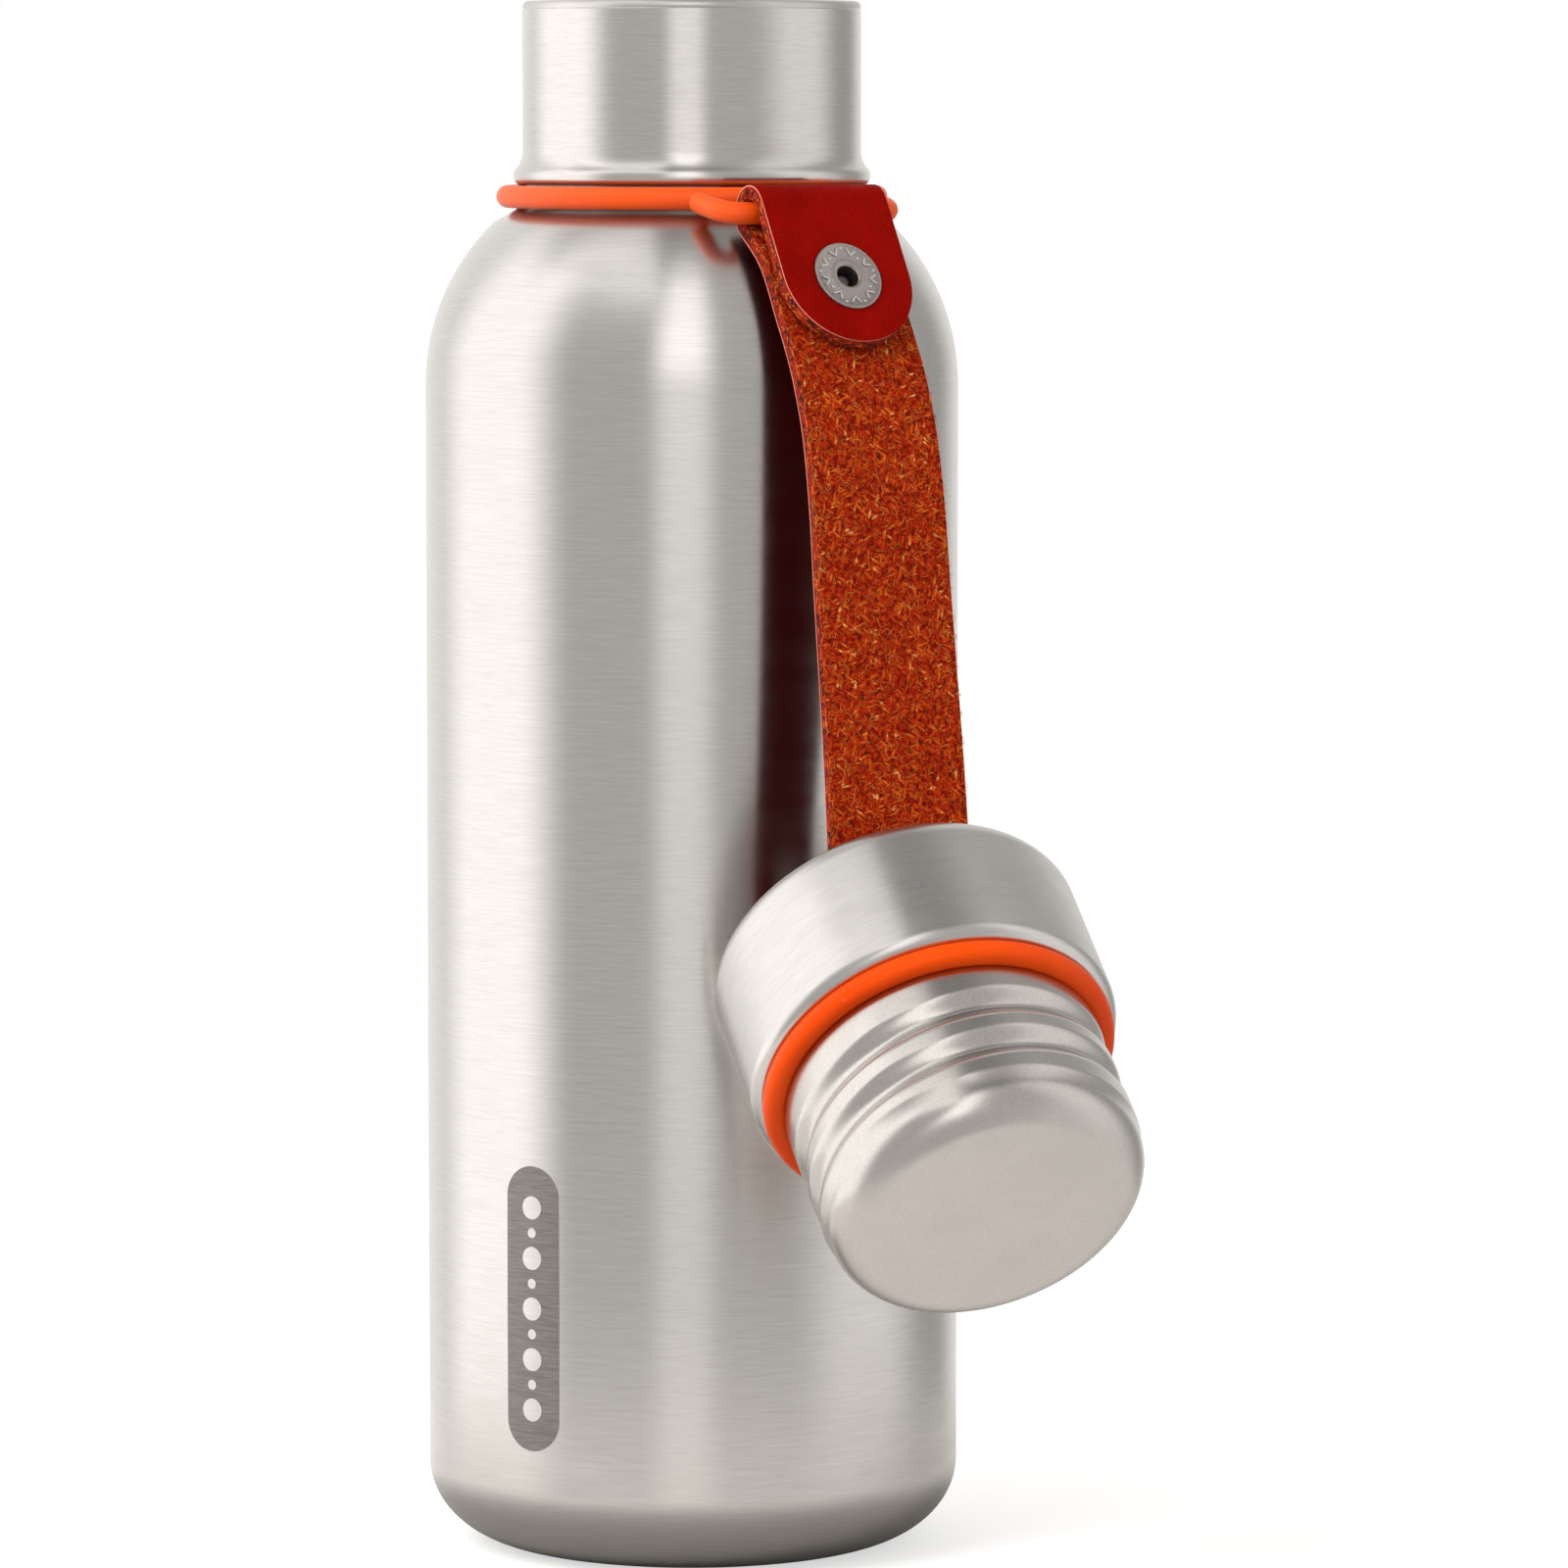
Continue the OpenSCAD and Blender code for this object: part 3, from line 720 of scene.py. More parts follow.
innerLiner = turned("innerLiner", linerOutline(), 160)
rollThread(innerLiner, bottlePlace, linerSize["root"], neckThread["start"] - linerSize["threadReach"],
           bottleSize["rim"] - linerSize["plainTop"], neckThread)
coated(innerLiner, steelInside)
finishPiece(innerLiner, "bottle", ["inner_vessel"])
print("inner liner turned")

# the etched panel on the front
labelSize = {"azimuth": -35.8, "middle": 34.9, "width": 8.4, "height": 37.2, "thick": 0.06,
             "markThick": 0.12, "marks": 9, "step": 3.3, "bigDot": 3.0, "smallDot": 1.3}
etchFinish = {"dark": (0.17, 0.153, 0.146, 1), "light": (0.31, 0.288, 0.276, 1),
              "fine": (0.20, 0.183, 0.174, 1), "slant": 0.7, "along": 260.0, "across": 5200.0}


def wrapOnBody(piece, radius):
    # x runs round the body from the label's azimuth and z is up; y is how far out
    start = math.radians(labelSize["azimuth"])
    for vertex in piece.data.vertices:
        turn = start + vertex.co.x / (radius * mm)
        out = radius * mm + vertex.co.y
        vertex.co = Vector((out * math.sin(turn), -out * math.cos(turn), vertex.co.z))
    piece.data.update()


def pillPlate(name, width, height, z, thick, columns):
    # a round-ended plate: a disc is cut into upright columns, drawn out to length and thickened
    selectNothing()
    bpy.ops.mesh.primitive_circle_add(
        vertices=48, radius=width / 2 * mm, fill_type="NGON", location=(0, 0, z * mm),
        rotation=(math.radians(90), 0, 0))
    plate = settle(bpy.context.object)
    plate.name = name
    drawOut = (height - width) / 2 * mm
    bpy.ops.object.mode_set(mode="EDIT")
    for i in range(1, columns):
        cut = (width * i / columns - width / 2) * mm
        bpy.ops.mesh.select_all(action="SELECT")
        bpy.ops.mesh.bisect(plane_co=(cut, 0, 0), plane_no=(1, 0, 0))
    bpy.ops.object.mode_set(mode="OBJECT")
    for vertex in plate.data.vertices:
        fromMiddle = vertex.co.z - z * mm
        if abs(fromMiddle) > 1e-7:
            vertex.co.z += math.copysign(drawOut, fromMiddle)
    applyModifier(plate, "SOLIDIFY", thickness=thick * mm, offset=0)
    return plate


def etchedSteel(name, finish):
    # short slanting scratches in a dull grey ground
    material, tree, shader = newMaterial(name)
    here = addNode(tree, "ShaderNodeTexCoord").outputs["Object"]
    slanted = addNode(tree, "ShaderNodeMapping", {
        "Vector": here, "Rotation": (0.0, finish["slant"], 0.0),
        "Scale": (finish["along"], finish["along"], finish["across"]),
    }).outputs[0]
    scratch = noise(tree, slanted, 1.0, 3.0, 0.65)
    fine = noise(tree, here, 5200.0, 2.0, 0.6)
    colour = mixColour(tree, remap(tree, scratch, 0.35, 0.68, 0.0, 1.0), finish["dark"], finish["light"])
    colour = mixColour(tree, remap(tree, fine, 0.4, 0.7, 0.0, 0.5), colour, finish["fine"])
    setInputs(tree, shader, {
        "Base Color": colour, "Metallic": 0.65, "Roughness": remap(tree, scratch, 0.3, 0.7, 0.42, 0.58),
        "Normal": bumpOf(tree, scratch, 0.008 * mm),
    })
    return material


def makeLabel():
    # a column of round marks, big and small in turn, stands bright on the etched ground
    s = labelSize
    ground = pillPlate("etchedLabel", s["width"], s["height"], s["middle"], s["thick"], 10)
    coated(ground, etchedSteel("etchedGround", etchFinish), steelBottle)
    sizes = (s["bigDot"], s["smallDot"])
    firstMarks = [pillPlate("mark", size, size, 0, s["markThick"], 4) for size in sizes]
    marks = []
    for i in range(s["marks"]):
        mark = copied(firstMarks[i % 2])
        mark.location.z = (s["middle"] + (i - (s["marks"] - 1) / 2) * s["step"]) * mm
        coated(settle(mark), steelBottle)
        marks.append(mark)
    cleared(firstMarks)
    for plate in [ground] + marks:
        wrapOnBody(plate, bottleSize["bodyRadius"])
    return joined([ground] + marks)


etchedLabel = smooth(makeLabel(), 40)
finishPiece(etchedLabel, "bottle")
print("label etched")

# the silicone band: a ring in the groove and a bail for the strap
bandSize = {"cord": 1.5, "ringRadius": 24.2, "ringHeight": 178.1, "legReach": 21.0, "legSide": 12.65,
            "legInRing": 2.0, "straight": 2.5, "bend": 3.0, "voxel": 0.24, "smoothing": 6}


def bailRoute():
    # from inside the ring, out along one leg, across the bar and back
    s = bandSize
    bar = barReach.length / mm
    drop = math.atan((s["ringHeight"] - barPivot.z / mm) / (bar - s["legReach"]))
    half = [(s["legReach"] + s["legInRing"] - bar, s["legSide"])]
    half += [(-s["bend"] - s["straight"], s["legSide"])]
    half += arc((-s["bend"], s["legSide"] - s["bend"]), (s["bend"], s["bend"]), 90, 0, 8)
    half += [(0, s["legSide"] / 3)]
    route = half + [(x, -y) for x, y in reversed(half)]
    tilt = strapPlace @ Matrix.Rotation(drop, 4, "Y")
    return [tilt @ Vector((x * mm, y * mm, 0)) for x, y in route]


def tubeAlong(name, route, radius):
    curve = bpy.data.curves.new(name, "CURVE")
    curve.dimensions = "3D"
    curve.bevel_depth = radius * mm
    curve.bevel_resolution = 3
    curve.use_fill_caps = True
    spline = curve.splines.new("POLY")
    spline.points.add(len(route) - 1)
    for point, place in zip(spline.points, route):
        point.co = (*place, 1)
    piece = bpy.data.objects.new(name, curve)
    bpy.context.scene.collection.objects.link(piece)
    pick(piece)
    bpy.ops.object.convert(target="MESH")
    return bpy.context.object


def makeBand():
    s = bandSize
    selectNothing()
    bpy.ops.mesh.primitive_torus_add(
        location=(0, 0, s["ringHeight"] * mm), major_radius=s["ringRadius"] * mm,
        minor_radius=s["cord"] * mm, major_segments=144, minor_segments=20)
    ring = settle(bpy.context.object)
    bail = tubeAlong("bail", bailRoute(), s["cord"])
    band = joined([ring, bail])
    band.name = "neckBand"
    applyModifier(band, "REMESH", mode="VOXEL", voxel_size=s["voxel"] * mm)
    applyModifier(band, "SMOOTH", factor=0.5, iterations=s["smoothing"])
    return smooth(band, 180)


neckBand = makeBand()
coated(neckBand, bandSilicone)
finishPiece(neckBand, "band", ["neck_band"])
print("band moulded")

# the leather strap
strapSize = {"width": 18.6, "thick": 1.8, "foldRadius": 2.7, "flapLean": 30, "snap": 11.3, "foldStart": 30,
             "foldEnd": 232, "turnStart": 18.0, "turn": -10.4, "hole": 2.05, "edgeRound": 0.22,
             "foldRun": 9.6, "cut": 53.5, "tail": 17.0, "endRound": 10.0, "bendCorner": 5.5,
             "rowStep": 1.0, "foldStep": 0.2, "bendStep": 0.6, "closeBefore": 8, "columns": 12}
# distance down from the bar along the flap's line, and distance out of it
strapRun = [(7.2, -0.22), (15.2, -0.1), (19, -0.05), (24, -0.3), (31, -1.5), (40, -4.4), (50, -8.3),
            (62, -12.4), (74, -16.0), (82, -18.2)]


def runPlace(s, n):
    lean = math.radians(strapSize["flapLean"])
    return Vector((s * math.sin(lean) + n * math.cos(lean), -s * math.cos(lean) + n * math.sin(lean)))


def throughPoints(points, steps):
    # a smooth line through the points
    padded = [points[0]] + points + [points[-1]]
    line = []
    for before, a, b, after in zip(padded, padded[1:], padded[2:], padded[3:]):
        for k in range(steps):
            t = k / steps
            bent = (2 * before - 5 * a + 4 * b - after) * t * t + (3 * a - before - 3 * b + after) * t ** 3
            line.append(0.5 * (2 * a + (b - before) * t + bent))
    return line + [points[-1]]


def strapLine():
    # centre line in the strap's own upright frame, from the flap's tip to the tail's end, in millimetres
    s = strapSize
    r = s["foldRadius"]
    tip = s["snap"] + s["width"] / 2
    line = [runPlace(tip * (1 - i / 40), r) for i in range(40)]
    steps = 48
    for i in range(steps + 1):
        t = math.radians(s["foldStart"] + (s["foldEnd"] - s["foldStart"]) * i / steps)
        line.append(Vector((r * math.cos(t), r * math.sin(t))))
    foldEndIndex = len(line) - 1
    line += throughPoints([line[-1]] + [runPlace(*p) for p in strapRun], 8)[1:]
    bend = Vector((bendCorner.x, bendCorner.z))
    line.append(line[-1] + (bend - line[-1]) * 0.5)
    # below the flap the run drifts sideways and turns towards the stopper, from none to all at the bend
    downFlap = runPlace(1, 0)
    start = s["turnStart"]
    centres, turns = [], []
    for i, p in enumerate(line):
        share = 0.0
        if i > foldEndIndex:
            share = max(0.0, (p.dot(downFlap) - start) / (bend.dot(downFlap) - start))
        centres.append(Vector((p.x, bendCorner.y * share ** 3, p.y)))
        turns.append(s["turn"] * share)
    down = -(strapPlace.inverted().to_3x3() @ capUp)
    for i in range(1, 15):
        centres.append(bendCorner + down * s["tail"] * i / 14)
        turns.append(s["turn"])
    return centres, turns


def roundBend(centres, turns, corner, reach):
    # the stretch within reach of the corner becomes one soft curve
    before = max(i for i, p in enumerate(centres) if (p - corner).length > reach and p.z > corner.z)
    after = min(i for i, p in enumerate(centres) if (p - corner).length > reach and p.z < corner.z)
    middle, middleTurns = [], []
    for i in range(1, 14):
        t = i / 14
        middle.append((1 - t) ** 2 * centres[before] + 2 * t * (1 - t) * corner + t * t * centres[after])
        middleTurns.append(turns[before] + (turns[after] - turns[before]) * t)
    return centres[:before + 1] + middle + centres[after:], turns[:before + 1] + middleTurns + turns[after:]


def strapStations():
    # at each station: distance along, centre, the way across and the way out of the skin
    centres, turns = roundBend(*strapLine(), bendCorner, strapSize["bendCorner"])
    stations, far = [], 0.0
    for i, centre in enumerate(centres):
        if i:
            far += (centre - centres[i - 1]).length
        ahead = (centres[min(i + 1, len(centres) - 1)] - centres[max(i - 1, 0)]).normalized()
        turn = math.radians(turns[i])
        across = Vector((-math.sin(turn), math.cos(turn), 0))
        across = (across - ahead * across.dot(ahead)).normalized()
        skin = across.cross(ahead).normalized()
        stations.append((far, centre, across, skin))
    return stations


stations = strapStations()
strapLength = stations[-1][0]
halfWidth = strapSize["width"] / 2
cutPlace = strapSize["snap"] + halfWidth + strapSize["cut"]  # the upper and lower pieces meet here
bendPlace = min(stations, key=lambda station: (station[1] - bendCorner).length)[0]


def onStrap(along, across, rise):
    # where a point of the flat strap lies, in metres
    low, high = 0, len(stations) - 1
    along = min(max(along, 0.0), strapLength)
    while high - low > 1:
        middle = (low + high) // 2
        if stations[middle][0] <= along:
            low = middle
        else:
            high = middle
    a, b = stations[low], stations[high]
    t = (along - a[0]) / (b[0] - a[0])
    centre = a[1].lerp(b[1], t)
    side = a[2].lerp(b[2], t).normalized()
    skin = a[3].lerp(b[3], t).normalized()
    return strapPlace @ ((centre + side * across + skin * rise) * mm)


def flatStrip(name, rows):
    # a grid is laid out flat, narrowed at the strap's two round ends and given its thickness;
    # rows are distances along the strap
    selectNothing()
    bpy.ops.mesh.primitive_grid_add(
        x_subdivisions=len(rows) - 1, y_subdivisions=strapSize["columns"], size=2)
    strip = bpy.context.object
    strip.name = name
    thick, endRound = strapSize["thick"], strapSize["endRound"]
    for vertex in strip.data.vertices:
        along = rows[round((vertex.co.x + 1) / 2 * (len(rows) - 1))]
        intoEnd = max((halfWidth - along) / halfWidth, (along - strapLength + endRound) / endRound, 0.0)
        narrow = math.sqrt(1 - min(1.0, intoEnd) ** 2)
        vertex.co = Vector((along, vertex.co.y * halfWidth * narrow, -thick / 2)) * mm
    bpy.ops.object.mode_set(mode="EDIT")
    bpy.ops.mesh.select_all(action="SELECT")
    bpy.ops.mesh.remove_doubles(threshold=weld)
    bpy.ops.mesh.extrude_region_move(TRANSFORM_OT_translate={"value": (0, 0, thick * mm)})
    bpy.ops.mesh.select_all(action="SELECT")
    bpy.ops.mesh.normals_make_consistent(inside=False)
    bpy.ops.object.mode_set(mode="OBJECT")
    return strip


def punchHole(strip, along, radius):
    selectNothing()
    bpy.ops.mesh.primitive_cylinder_add(
        vertices=48, radius=radius * mm, depth=8 * mm, location=(along * mm, 0, 0))
    punch = settle(bpy.context.object)
    applyModifier(strip, "BOOLEAN", operation="DIFFERENCE", object=punch, solver="EXACT")
    cleared([punch])


def markSides(strip):
    # skin on top, flesh below and a cut edge between them
    coated(strip, skinLeather, fleshLeather, cutLeather)
    for face in strip.data.polygons:
        face.material_index = 0 if face.normal.z > 0.6 else 1 if face.normal.z < -0.6 else 2


def layOnRun(strip):
    # keeps each point's place on the flat strap for the leather's pattern, then lays the strip on its run
    way = strip.data.attributes.new("strapWay", "FLOAT_VECTOR", "POINT")
    flat = [vertex.co.copy() for vertex in strip.data.vertices]
    for i, p in enumerate(flat):
        way.data[i].vector = p
        strip.data.vertices[i].co = onStrap(p.x / mm, p.y / mm, p.z / mm)
    strip.data.update()


def evenRows(start, end, step):
    count = max(1, round((end - start) / step))
    return [start + (end - start) * i / count for i in range(count + 1)]


def strapRows():
    # closest at the round ends, at the fold and near the bend
    s = strapSize
    upper = [halfWidth * (1 - math.cos(math.radians(90 * i / 16))) for i in range(17)]
    foldFrom = s["snap"] + halfWidth
    foldTo = foldFrom + s["foldRun"]
    upper += evenRows(halfWidth, foldFrom, s["rowStep"])[1:] + evenRows(foldFrom, foldTo, s["foldStep"])[1:]
    upper += evenRows(foldTo, cutPlace, s["rowStep"])[1:]
    closeFrom = bendPlace - s["closeBefore"]
    roundFrom = strapLength - s["endRound"]
    lower = evenRows(cutPlace, closeFrom, s["rowStep"]) + evenRows(closeFrom, roundFrom, s["bendStep"])[1:]
    lower += [roundFrom + s["endRound"] * math.sin(math.radians(90 * i / 14)) for i in range(1, 15)]
    return upper, lower


def makeStrip(name, rows, hole=None):
    strip = flatStrip(name, rows)
    if hole is not None:
        punchHole(strip, hole, strapSize["hole"])
    applyModifier(
        strip, "BEVEL", width=strapSize["edgeRound"] * mm, segments=3, limit_method="ANGLE",
        angle_limit=math.radians(50))
    markSides(strip)
    layOnRun(strip)
    return smooth(strip, 40)


# loose fibres on the flesh side
fibreSize = {"thick": 0.034, "reach": (0.5, 1.7), "curl": 2.6, "lift": (0.03, 0.20), "perCm": 110,
             "edgePerCm": 26, "seed": 7}


def fibrePoints(draw, start, end, onEdge):
    # one curl's seven points on the flat strap; draw is the random source
    s = fibreSize
    x = draw.uniform(start + 0.5, end - 0.5)
    if onEdge:
        y = draw.choice((-1, 1)) * draw.uniform(halfWidth - 0.35, halfWidth + 0.02)
    else:
        y = draw.uniform(-halfWidth + 0.5, halfWidth - 0.5)
    reach = draw.uniform(*s["reach"])
    turn = draw.uniform(0, 2 * math.pi)
    curl = draw.uniform(-s["curl"], s["curl"])
    lift = draw.uniform(*s["lift"])
    limit = halfWidth + 0.18 if onEdge else halfWidth - 0.1
    points = []
    for k in range(7):
        rise = -strapSize["thick"] / 2 - 0.01 - lift * math.sin(math.pi * k / 6)
        along = min(max(x, start + 0.1), end - 0.1)
        points.append(Vector((along, min(max(y, -limit), limit), rise)))
        turn += curl / 6
        x += reach / 6 * math.cos(turn)
        y += reach / 6 * math.sin(turn)
    return points


def looseFibres(name, start, end, count, edgeCount, seed):
    # short curls, each a three-sided tube, scattered over the flesh side and along its edges
    draw = random.Random(seed)
    vertices, faces = [], []
    for i in range(count + edgeCount):
        points = fibrePoints(draw, start, end, i >= count)
        first = len(vertices)
        for k, p in enumerate(points):
            ahead = (points[min(k + 1, 6)] - points[max(k - 1, 0)]).normalized()
            side = ahead.cross(Vector((0, 0, 1))).normalized()
            up = side.cross(ahead)
            radius = fibreSize["thick"] * (0.35 + 0.65 * math.sin(math.pi * (k + 0.5) / 7))
            for j in range(3):
                t = 2 * math.pi * j / 3
                vertices.append((p + (side * math.cos(t) + up * math.sin(t)) * radius) * mm)
            if k:
                low, high = first + 3 * (k - 1), first + 3 * k
                faces += [(low + j, low + (j + 1) % 3, high + (j + 1) % 3, high + j) for j in range(3)]
        faces += [(first + 2, first + 1, first), (first + 18, first + 19, first + 20)]
    mesh = bpy.data.meshes.new(name)
    mesh.from_pydata(vertices, [], faces)
    piece = bpy.data.objects.new(name, mesh)
    bpy.context.scene.collection.objects.link(piece)
    pick(piece)
    bpy.ops.object.mode_set(mode="EDIT")
    bpy.ops.mesh.select_all(action="SELECT")
    bpy.ops.mesh.normals_make_consistent(inside=False)
    bpy.ops.object.mode_set(mode="OBJECT")
    layOnRun(piece)
    return smooth(piece, 180)


def strayLeather(name, finish):
    material, tree, shader = newMaterial(name)
    tone = noise(tree, strapVector(tree), 700.0, 1.0)
    share = remap(tree, tone, 0.40, 0.68, 0.0, 1.0)
    setInputs(tree, shader, {
        "Base Color": mixColour(tree, share, finish["strayDark"], finish["strayLight"]),
        "Roughness": remap(tree, tone, 0.3, 0.7, 0.6, 0.8), "Specular IOR Level": 0.3,
    })
    return material


looseLeather = strayLeather("looseLeather", leatherFinish)


def addFibres(strip, start, end, seed):
    length = (end - start) / 10
    count, edgeCount = (round(fibreSize[key] * length) for key in ("perCm", "edgePerCm"))
    curls = looseFibres("curls", start, end, count, edgeCount, seed)
    coated(curls, looseLeather)
    return joined([strip, curls])


upperRows, lowerRows = strapRows()
upperStrap = makeStrip("strapUpper", upperRows, halfWidth)
upperStrap = addFibres(upperStrap, halfWidth + strapSize["snap"] + 6, cutPlace, fibreSize["seed"])
lowerStrap = makeStrip("strapLower", lowerRows)
lowerStrap = addFibres(lowerStrap, cutPlace, strapLength - 8, fibreSize["seed"] + 1)
print("strap cut and laid:", round(strapLength, 1), "mm long")

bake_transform(upperStrap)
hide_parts("strap", "strap_flap")
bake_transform(lowerStrap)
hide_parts("strap_end")

# the snap's eyelet
snapSize = {"flange": 4.75, "hole": 1.5, "barrel": 1.95, "proud": 0.42, "rim": 0.55, "dish": 0.12,
            "roll": (0.55, 0.42), "marks": 9, "markRing": 3.05, "markDepth": 0.10,
            "bar": (1.15, 0.24, 0.34), "barShift": 0.50, "barLean": 38, "barBevel": 0.05,
            "dotRings": (3.95, 3.20), "dot": 0.23, "dotFlat": 0.6}


def snapFrame(out):
    lean = Matrix.Rotation(math.radians(-strapSize["flapLean"]), 4, "Y")
    at = Matrix.Translation((out * mm, 0, -strapSize["snap"] * mm))
    return strapPlace @ lean @ at @ Matrix.Rotation(math.radians(90), 4, "Y")


def makeMarkBar():
    # one leg of a chevron, reaching out from its tip
    s = snapSize
    selectNothing()
    bpy.ops.mesh.primitive_cube_add(size=1)
    bar = bpy.context.object
    bar.scale = [size * mm for size in s["bar"]]
    settle(bar)
    applyModifier(bar, "BEVEL", width=s["barBevel"] * mm, segments=2)
    return settle(bar, Matrix.Translation((s["barShift"] * mm, 0, 0)))


def makeMarkDot():
    selectNothing()
    bpy.ops.mesh.primitive_uv_sphere_add(segments=12, ring_count=8, radius=snapSize["dot"] * mm)
    dot = bpy.context.object
    dot.scale.z = snapSize["dotFlat"]
    return settle(dot)


def makeEyelet():
    s = snapSize
    face = strapSize["thick"]
    top = face + s["proud"]
    outline = [(s["hole"], 0), (s["barrel"], 0), (s["barrel"], face), (s["flange"], face)]
    outline += arc((s["flange"] - 0.2, face + 0.2), (0.2, 0.22), 0, 90, 5)
    rim, bed, rollFrom = s["flange"] - s["rim"], top - s["dish"], s["hole"] + 0.5
    outline += [(rim + 0.13, top - 0.05), (rim, bed), (rollFrom + s["roll"][0], bed)]
    outline += arc((rollFrom, top - 0.45), s["roll"], 60, 180, 8)
    outline += [(s["hole"], face - 0.3), (s["hole"], 0)]
    ring = turned("snapEyelet", outline, 96)
    # raised chevrons stand round the face, with small dots between them
    height = (top - s["markDepth"]) * mm
    firstBar, firstDot = makeMarkBar(), makeMarkDot()
    marks = []
    for i in range(s["marks"]):
        turn = Matrix.Rotation(2 * math.pi * i / s["marks"], 4, "Z")
        tip = turn @ Matrix.Translation((s["markRing"] * mm, 0, height))
        for lean in (-s["barLean"], s["barLean"]):
            marks.append(settle(copied(firstBar), tip @ Matrix.Rotation(math.radians(lean), 4, "Z")))
        between = turn @ Matrix.Rotation(math.pi / s["marks"], 4, "Z")
        at = Matrix.Translation((s["dotRings"][i % 2] * mm, 0, height))
        marks.append(settle(copied(firstDot), between @ at))
    cleared([firstBar, firstDot])
    coated(ring, steelSnap)
    for mark in marks:
        coated(mark, steelMarks)
    eyelet = joined([ring] + marks)
    settle(eyelet, snapFrame(strapSize["foldRadius"] - strapSize["thick"] / 2))
    return smooth(eyelet, 35)


snapEyelet = makeEyelet()
finishPiece(snapEyelet, "flap", ["snap_eyelet"])
print("snap set")

# the stopper, measured from its top along its own axis
capSize = {"radius": 23.8, "height": 21.0, "edge": 3.5, "wall": 0.8, "lipInside": 22.4, "lipEdge": 1.6,
           "lipDepth": 2.4, "wallRings": (9, 14), "rivetHole": 1.6}
sealSize = {"ring": 21.2, "centre": 22.1, "section": 1.6, "flatFrom": 1.2, "flatten": 0.8}
plugSize = {"radius": 19.5, "wall": 0.6, "start": 8.0, "end": 46.6, "endRadius": 20.2, "corner": 4.2,
            "crest": 20.6, "crestFrom": 24.4, "threadRings": 72}
# the groove between the plug's wide crests
plugThread = {"rise": -1.1, "start": 21.3, "pitch": 6.5, "turns": (0.72, 2.62), "halfWidth": 2.5,
              "runOut": 0.16}


def makeCapShell():
    s = capSize
    r, e, w = s["radius"], s["edge"], s["wall"]
    outline = [(s["rivetHole"], w), (s["rivetHole"], 0.1), (s["rivetHole"] + 0.1, 0)]
    outline += arc((r - e, e), (e, e), 270, 360, 14)
    outline += [(r, ring) for ring in s["wallRings"]]
    lip, end = s["lipInside"], s["height"]
    outline += arc((lip, end - s["lipEdge"]), (r - lip, s["lipEdge"]), 0, 90, 10)
    outline += [(lip - 0.05, end - 0.25), (lip, end - s["lipDepth"]), (r - w, end - s["lipDepth"] - w)]
    outline += arc((r - e, e), (e - w, e - w), 360, 270, 10)
    outline += [outline[0]]
    return turned("capShell", outline, 160, capPlace)


def makeSeal():
    # a ring of round section, pressed a little flat on its far side
    s = sealSize
    outline = arc((s["ring"], s["centre"]), (s["section"], s["section"]), 0, 360, 28)
    flat = s["centre"] + s["flatFrom"]
    outline = [(x, y if y < flat else flat + (y - flat) * s["flatten"]) for x, y in outline]
    outline[-1] = outline[0]
    return turned("capSeal", outline, 144, capPlace, 60)


def makePlug():
    s = plugSize
    inside = s["radius"] - s["wall"]
    low, high, rings = s["crestFrom"], s["end"] - s["corner"] - 2, s["threadRings"]
    outline = [(inside, s["start"]), (s["radius"], s["start"]), (s["radius"], low - 1.8)]
    outline += softCorner((s["radius"], low - 1.4), (s["crest"] - 0.1, low - 1.3), (s["crest"], low), 6)
    outline += [(s["crest"], low + (high - low) * i / rings) for i in range(1, rings + 1)]
    end = s["endRadius"]
    outline += softCorner((s["crest"], high), (end + 0.1, high + 1), (end, high + 2), 6)[1:-1]
    centre = (s["endRadius"] - s["corner"], s["end"] - s["corner"])
    outline += arc(centre, (s["corner"],) * 2, 0, 90, 18)
    outline += [(0, s["end"]), (0, s["end"] - s["wall"])]
    outline += arc((centre[0] - s["wall"], centre[1]), (s["corner"] - s["wall"],) * 2, 90, 0, 10)
    outline += [(inside, s["end"] - s["corner"] - 1), (inside, s["start"])]
    plug = turned("capPlug", outline, 192, capPlace)
    rollThread(plug, capPlace, s["crest"], low, high, plugThread)
    return smooth(plug, 40)


capShell = makeCapShell()
coated(capShell, steelCap)
finishPiece(capShell, "cap", ["cap_shell"])
capSeal = makeSeal()
coated(capSeal, sealSilicone)
finishPiece(capSeal, "cap", ["cap_seal"])
capPlug = makePlug()
coated(capPlug, steelPlug)
finishPiece(capPlug, "cap", ["cap_plug"])
print("stopper turned")

# these keep their CAD shape
keptPieces = {"outer_bottom": steelInside, "base_plate": steelBottle, "vacuum_seal": getterMetal,
              "inner_bottom": steelInside, "getter": getterMetal, "snap_stud": gunmetal,
              "snap_post": gunmetal, "snap_socket": gunmetal, "rivet": steelSnap,
              "rivet_washer": steelSnap, "cap_body": capPlastic, "cap_foam": foamWhite}
for nodeName, material in keptPieces.items():
    coated(frame["nodes"][nodeName], material)
print("materials on the kept pieces")

# the studio
studioSetup = {"base": 0.60, "warmth": (1.0, 0.985, 0.965, 1), "white": 1.0}
# each soft light: azimuth from the front with its inner and outer half widths, elevation with the same, and
# brightness, which is added to the base
softLights = {"left": (-97, 16, 44, -8, 44, 62, 1.0), "front": (-3, 5, 18, 30, 14, 48, 1.1),
              "right": (82, 8, 40, 0, 50, 80, 0.42), "backLeft": (-172, 28, 56, 0, 60, 85, 0.42),
              "backRight": (150, 20, 60, 0, 60, 85, -0.14), "above": (0, 360, 361, 90, 8, 34, -0.30),
              "below": (0, 360, 361, -90, 10, 50, -0.35)}
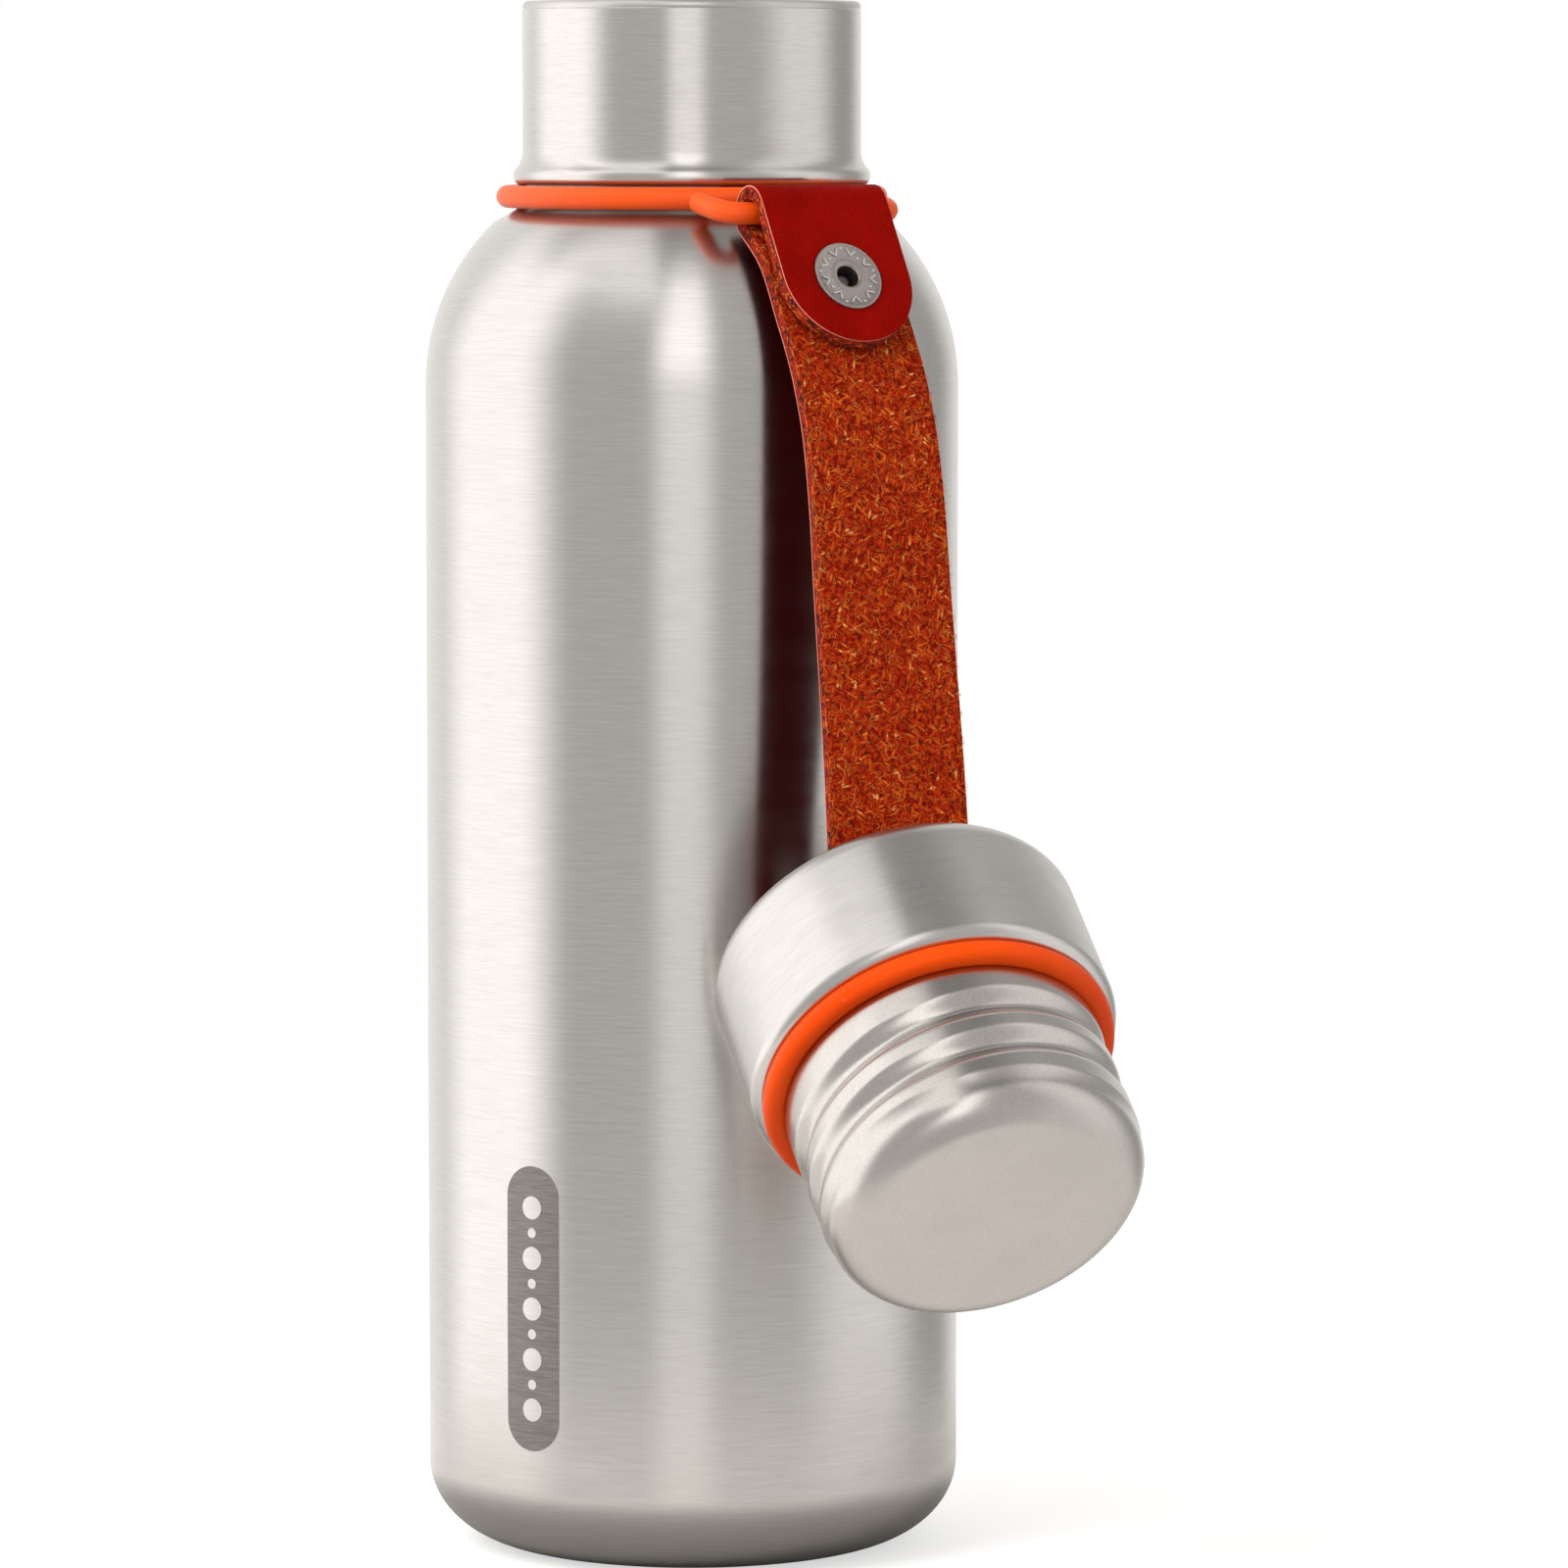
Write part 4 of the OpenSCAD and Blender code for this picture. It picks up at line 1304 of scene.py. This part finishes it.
# a panel high on the left, with its long edge running front to back; ranges of the direction's x, y and z
highPanel = {"edge": (-0.15, -0.26), "back": (0.16, 0.0), "height": (0.55, 0.80), "bright": 0.72}


def studioWorld():
    world = bpy.data.worlds.new("studio")
    bpy.context.scene.world = world
    world.use_nodes = True
    tree = world.node_tree
    tree.nodes.clear()
    way = addNode(tree, "ShaderNodeTexCoord").outputs["Generated"]
    parts = addNode(tree, "ShaderNodeSeparateXYZ", {0: way}).outputs
    azimuth = calc(tree, "ARCTAN2", parts[0], calc(tree, "MULTIPLY", parts[1], -1.0))
    azimuth = calc(tree, "DEGREES", azimuth)
    elevation = calc(tree, "DEGREES", calc(tree, "ARCSINE", parts[2]))
    total = studioSetup["base"]
    for centre, inner, outer, lift, liftInner, liftOuter, bright in softLights.values():
        away = calc(tree, "ABSOLUTE", calc(tree, "SUBTRACT", azimuth, float(centre)))
        away = calc(tree, "MINIMUM", away, calc(tree, "SUBTRACT", 360.0, away))
        off = calc(tree, "ABSOLUTE", calc(tree, "SUBTRACT", elevation, float(lift)))
        wide = remap(tree, away, inner, outer, 1.0, 0.0, True)
        tall = remap(tree, off, liftInner, liftOuter, bright, 0.0, True)
        total = calc(tree, "MULTIPLY_ADD", wide, tall, total)
    p = highPanel
    edge = remap(tree, parts[0], *p["edge"], 0.0, 1.0, True)
    back = remap(tree, parts[1], *p["back"], 0.0, 1.0, True)
    height = remap(tree, parts[2], *p["height"], 0.0, p["bright"], True)
    total = calc(tree, "MULTIPLY_ADD", calc(tree, "MULTIPLY", edge, back), height, total)
    glow = addNode(tree, "ShaderNodeBackground", {"Strength": total, "Color": studioSetup["warmth"]})
    plain = addNode(tree, "ShaderNodeBackground", {"Strength": studioSetup["white"], "Color": (1, 1, 1, 1)})
    seen = addNode(tree, "ShaderNodeLightPath").outputs["Is Camera Ray"]
    mix = addNode(tree, "ShaderNodeMixShader", {0: seen, 1: glow.outputs[0], 2: plain.outputs[0]})
    addNode(tree, "ShaderNodeOutputWorld", {"Surface": mix.outputs[0]})


# the mirrored floor's tone near the base is a painted contact shadow
floorSetup = {"radius": 0.375, "light": (0.54, 0.535, 0.525, 1), "dark": (0.50, 0.495, 0.485, 1),
              "lift": 0.62, "shadeFrom": 0.034, "shadeTo": 0.074, "contactShadowTone": (0.36, 0.345, 0.33, 1),
              "farTone": (0.92, 0.90, 0.88, 1), "fadeFrom": 0.115, "fadeTo": 0.14}


def paleFloor():
    s = floorSetup
    selectNothing()
    bpy.ops.mesh.primitive_circle_add(vertices=96, radius=s["radius"], fill_type="NGON", location=(0, 0, 0))
    floor = bpy.context.object
    floor.name = "floor"
    material, tree, shader = newMaterial("palePaper")
    here = addNode(tree, "ShaderNodeTexCoord").outputs["Object"]
    grain = noise(tree, here, 900.0, 3.0)
    setInputs(tree, shader, {
        "Base Color": mixColour(tree, grain, s["dark"], s["light"]),
        "Roughness": 0.9, "Specular IOR Level": 0.1,
    })
    # the camera sees it lifted to white; mirrored in the steel it has a painted contact shadow at the base,
    # is bright beyond it, and fades out further away
    path = addNode(tree, "ShaderNodeLightPath").outputs
    lift = addNode(tree, "ShaderNodeEmission", {"Color": (1, 1, 1, 1), "Strength": s["lift"]}).outputs[0]
    seen = addNode(tree, "ShaderNodeAddShader", {0: shader.outputs[0], 1: lift}).outputs[0]
    reach = vecMath(tree, "LENGTH", here)
    away = remap(tree, reach, s["shadeFrom"], s["shadeTo"], 0.0, 1.0, True)
    shade = mixColour(tree, away, s["contactShadowTone"], s["farTone"])
    bright = addNode(tree, "ShaderNodeBsdfDiffuse", {"Color": shade}).outputs[0]
    clear = addNode(tree, "ShaderNodeBsdfTransparent").outputs[0]
    near = remap(tree, reach, s["fadeFrom"], s["fadeTo"], 1.0, 0.0, True)
    mirrored = addNode(tree, "ShaderNodeMixShader", {0: near, 1: clear, 2: bright}).outputs[0]
    shares = {0: path["Is Glossy Ray"], 1: shader.outputs[0], 2: mirrored}
    mix = addNode(tree, "ShaderNodeMixShader", shares)
    mix = addNode(tree, "ShaderNodeMixShader", {0: path["Is Camera Ray"], 1: mix.outputs[0], 2: seen})
    tree.links.new(mix.outputs[0], tree.nodes["Material Output"].inputs["Surface"])
    floor.data.materials.append(material)


keySetup = {"place": (-0.55, -0.75, 0.75), "aim": (0, 0, 0.1), "size": 0.5, "power": 7.0}


def keyLight():
    # a soft light that gives the shadow; the steel doesn't mirror it
    selectNothing()
    bpy.ops.object.light_add(type="AREA", location=keySetup["place"])
    light = bpy.context.object
    light.data.size = keySetup["size"]
    light.data.energy = keySetup["power"]
    light.rotation_euler = (Vector(keySetup["aim"]) - light.location).to_track_quat("-Z", "Y").to_euler()
    light.visible_glossy = False


studioWorld()
paleFloor()
keyLight()
bpy.context.scene.view_settings.view_transform = "Standard"
print("studio lit")
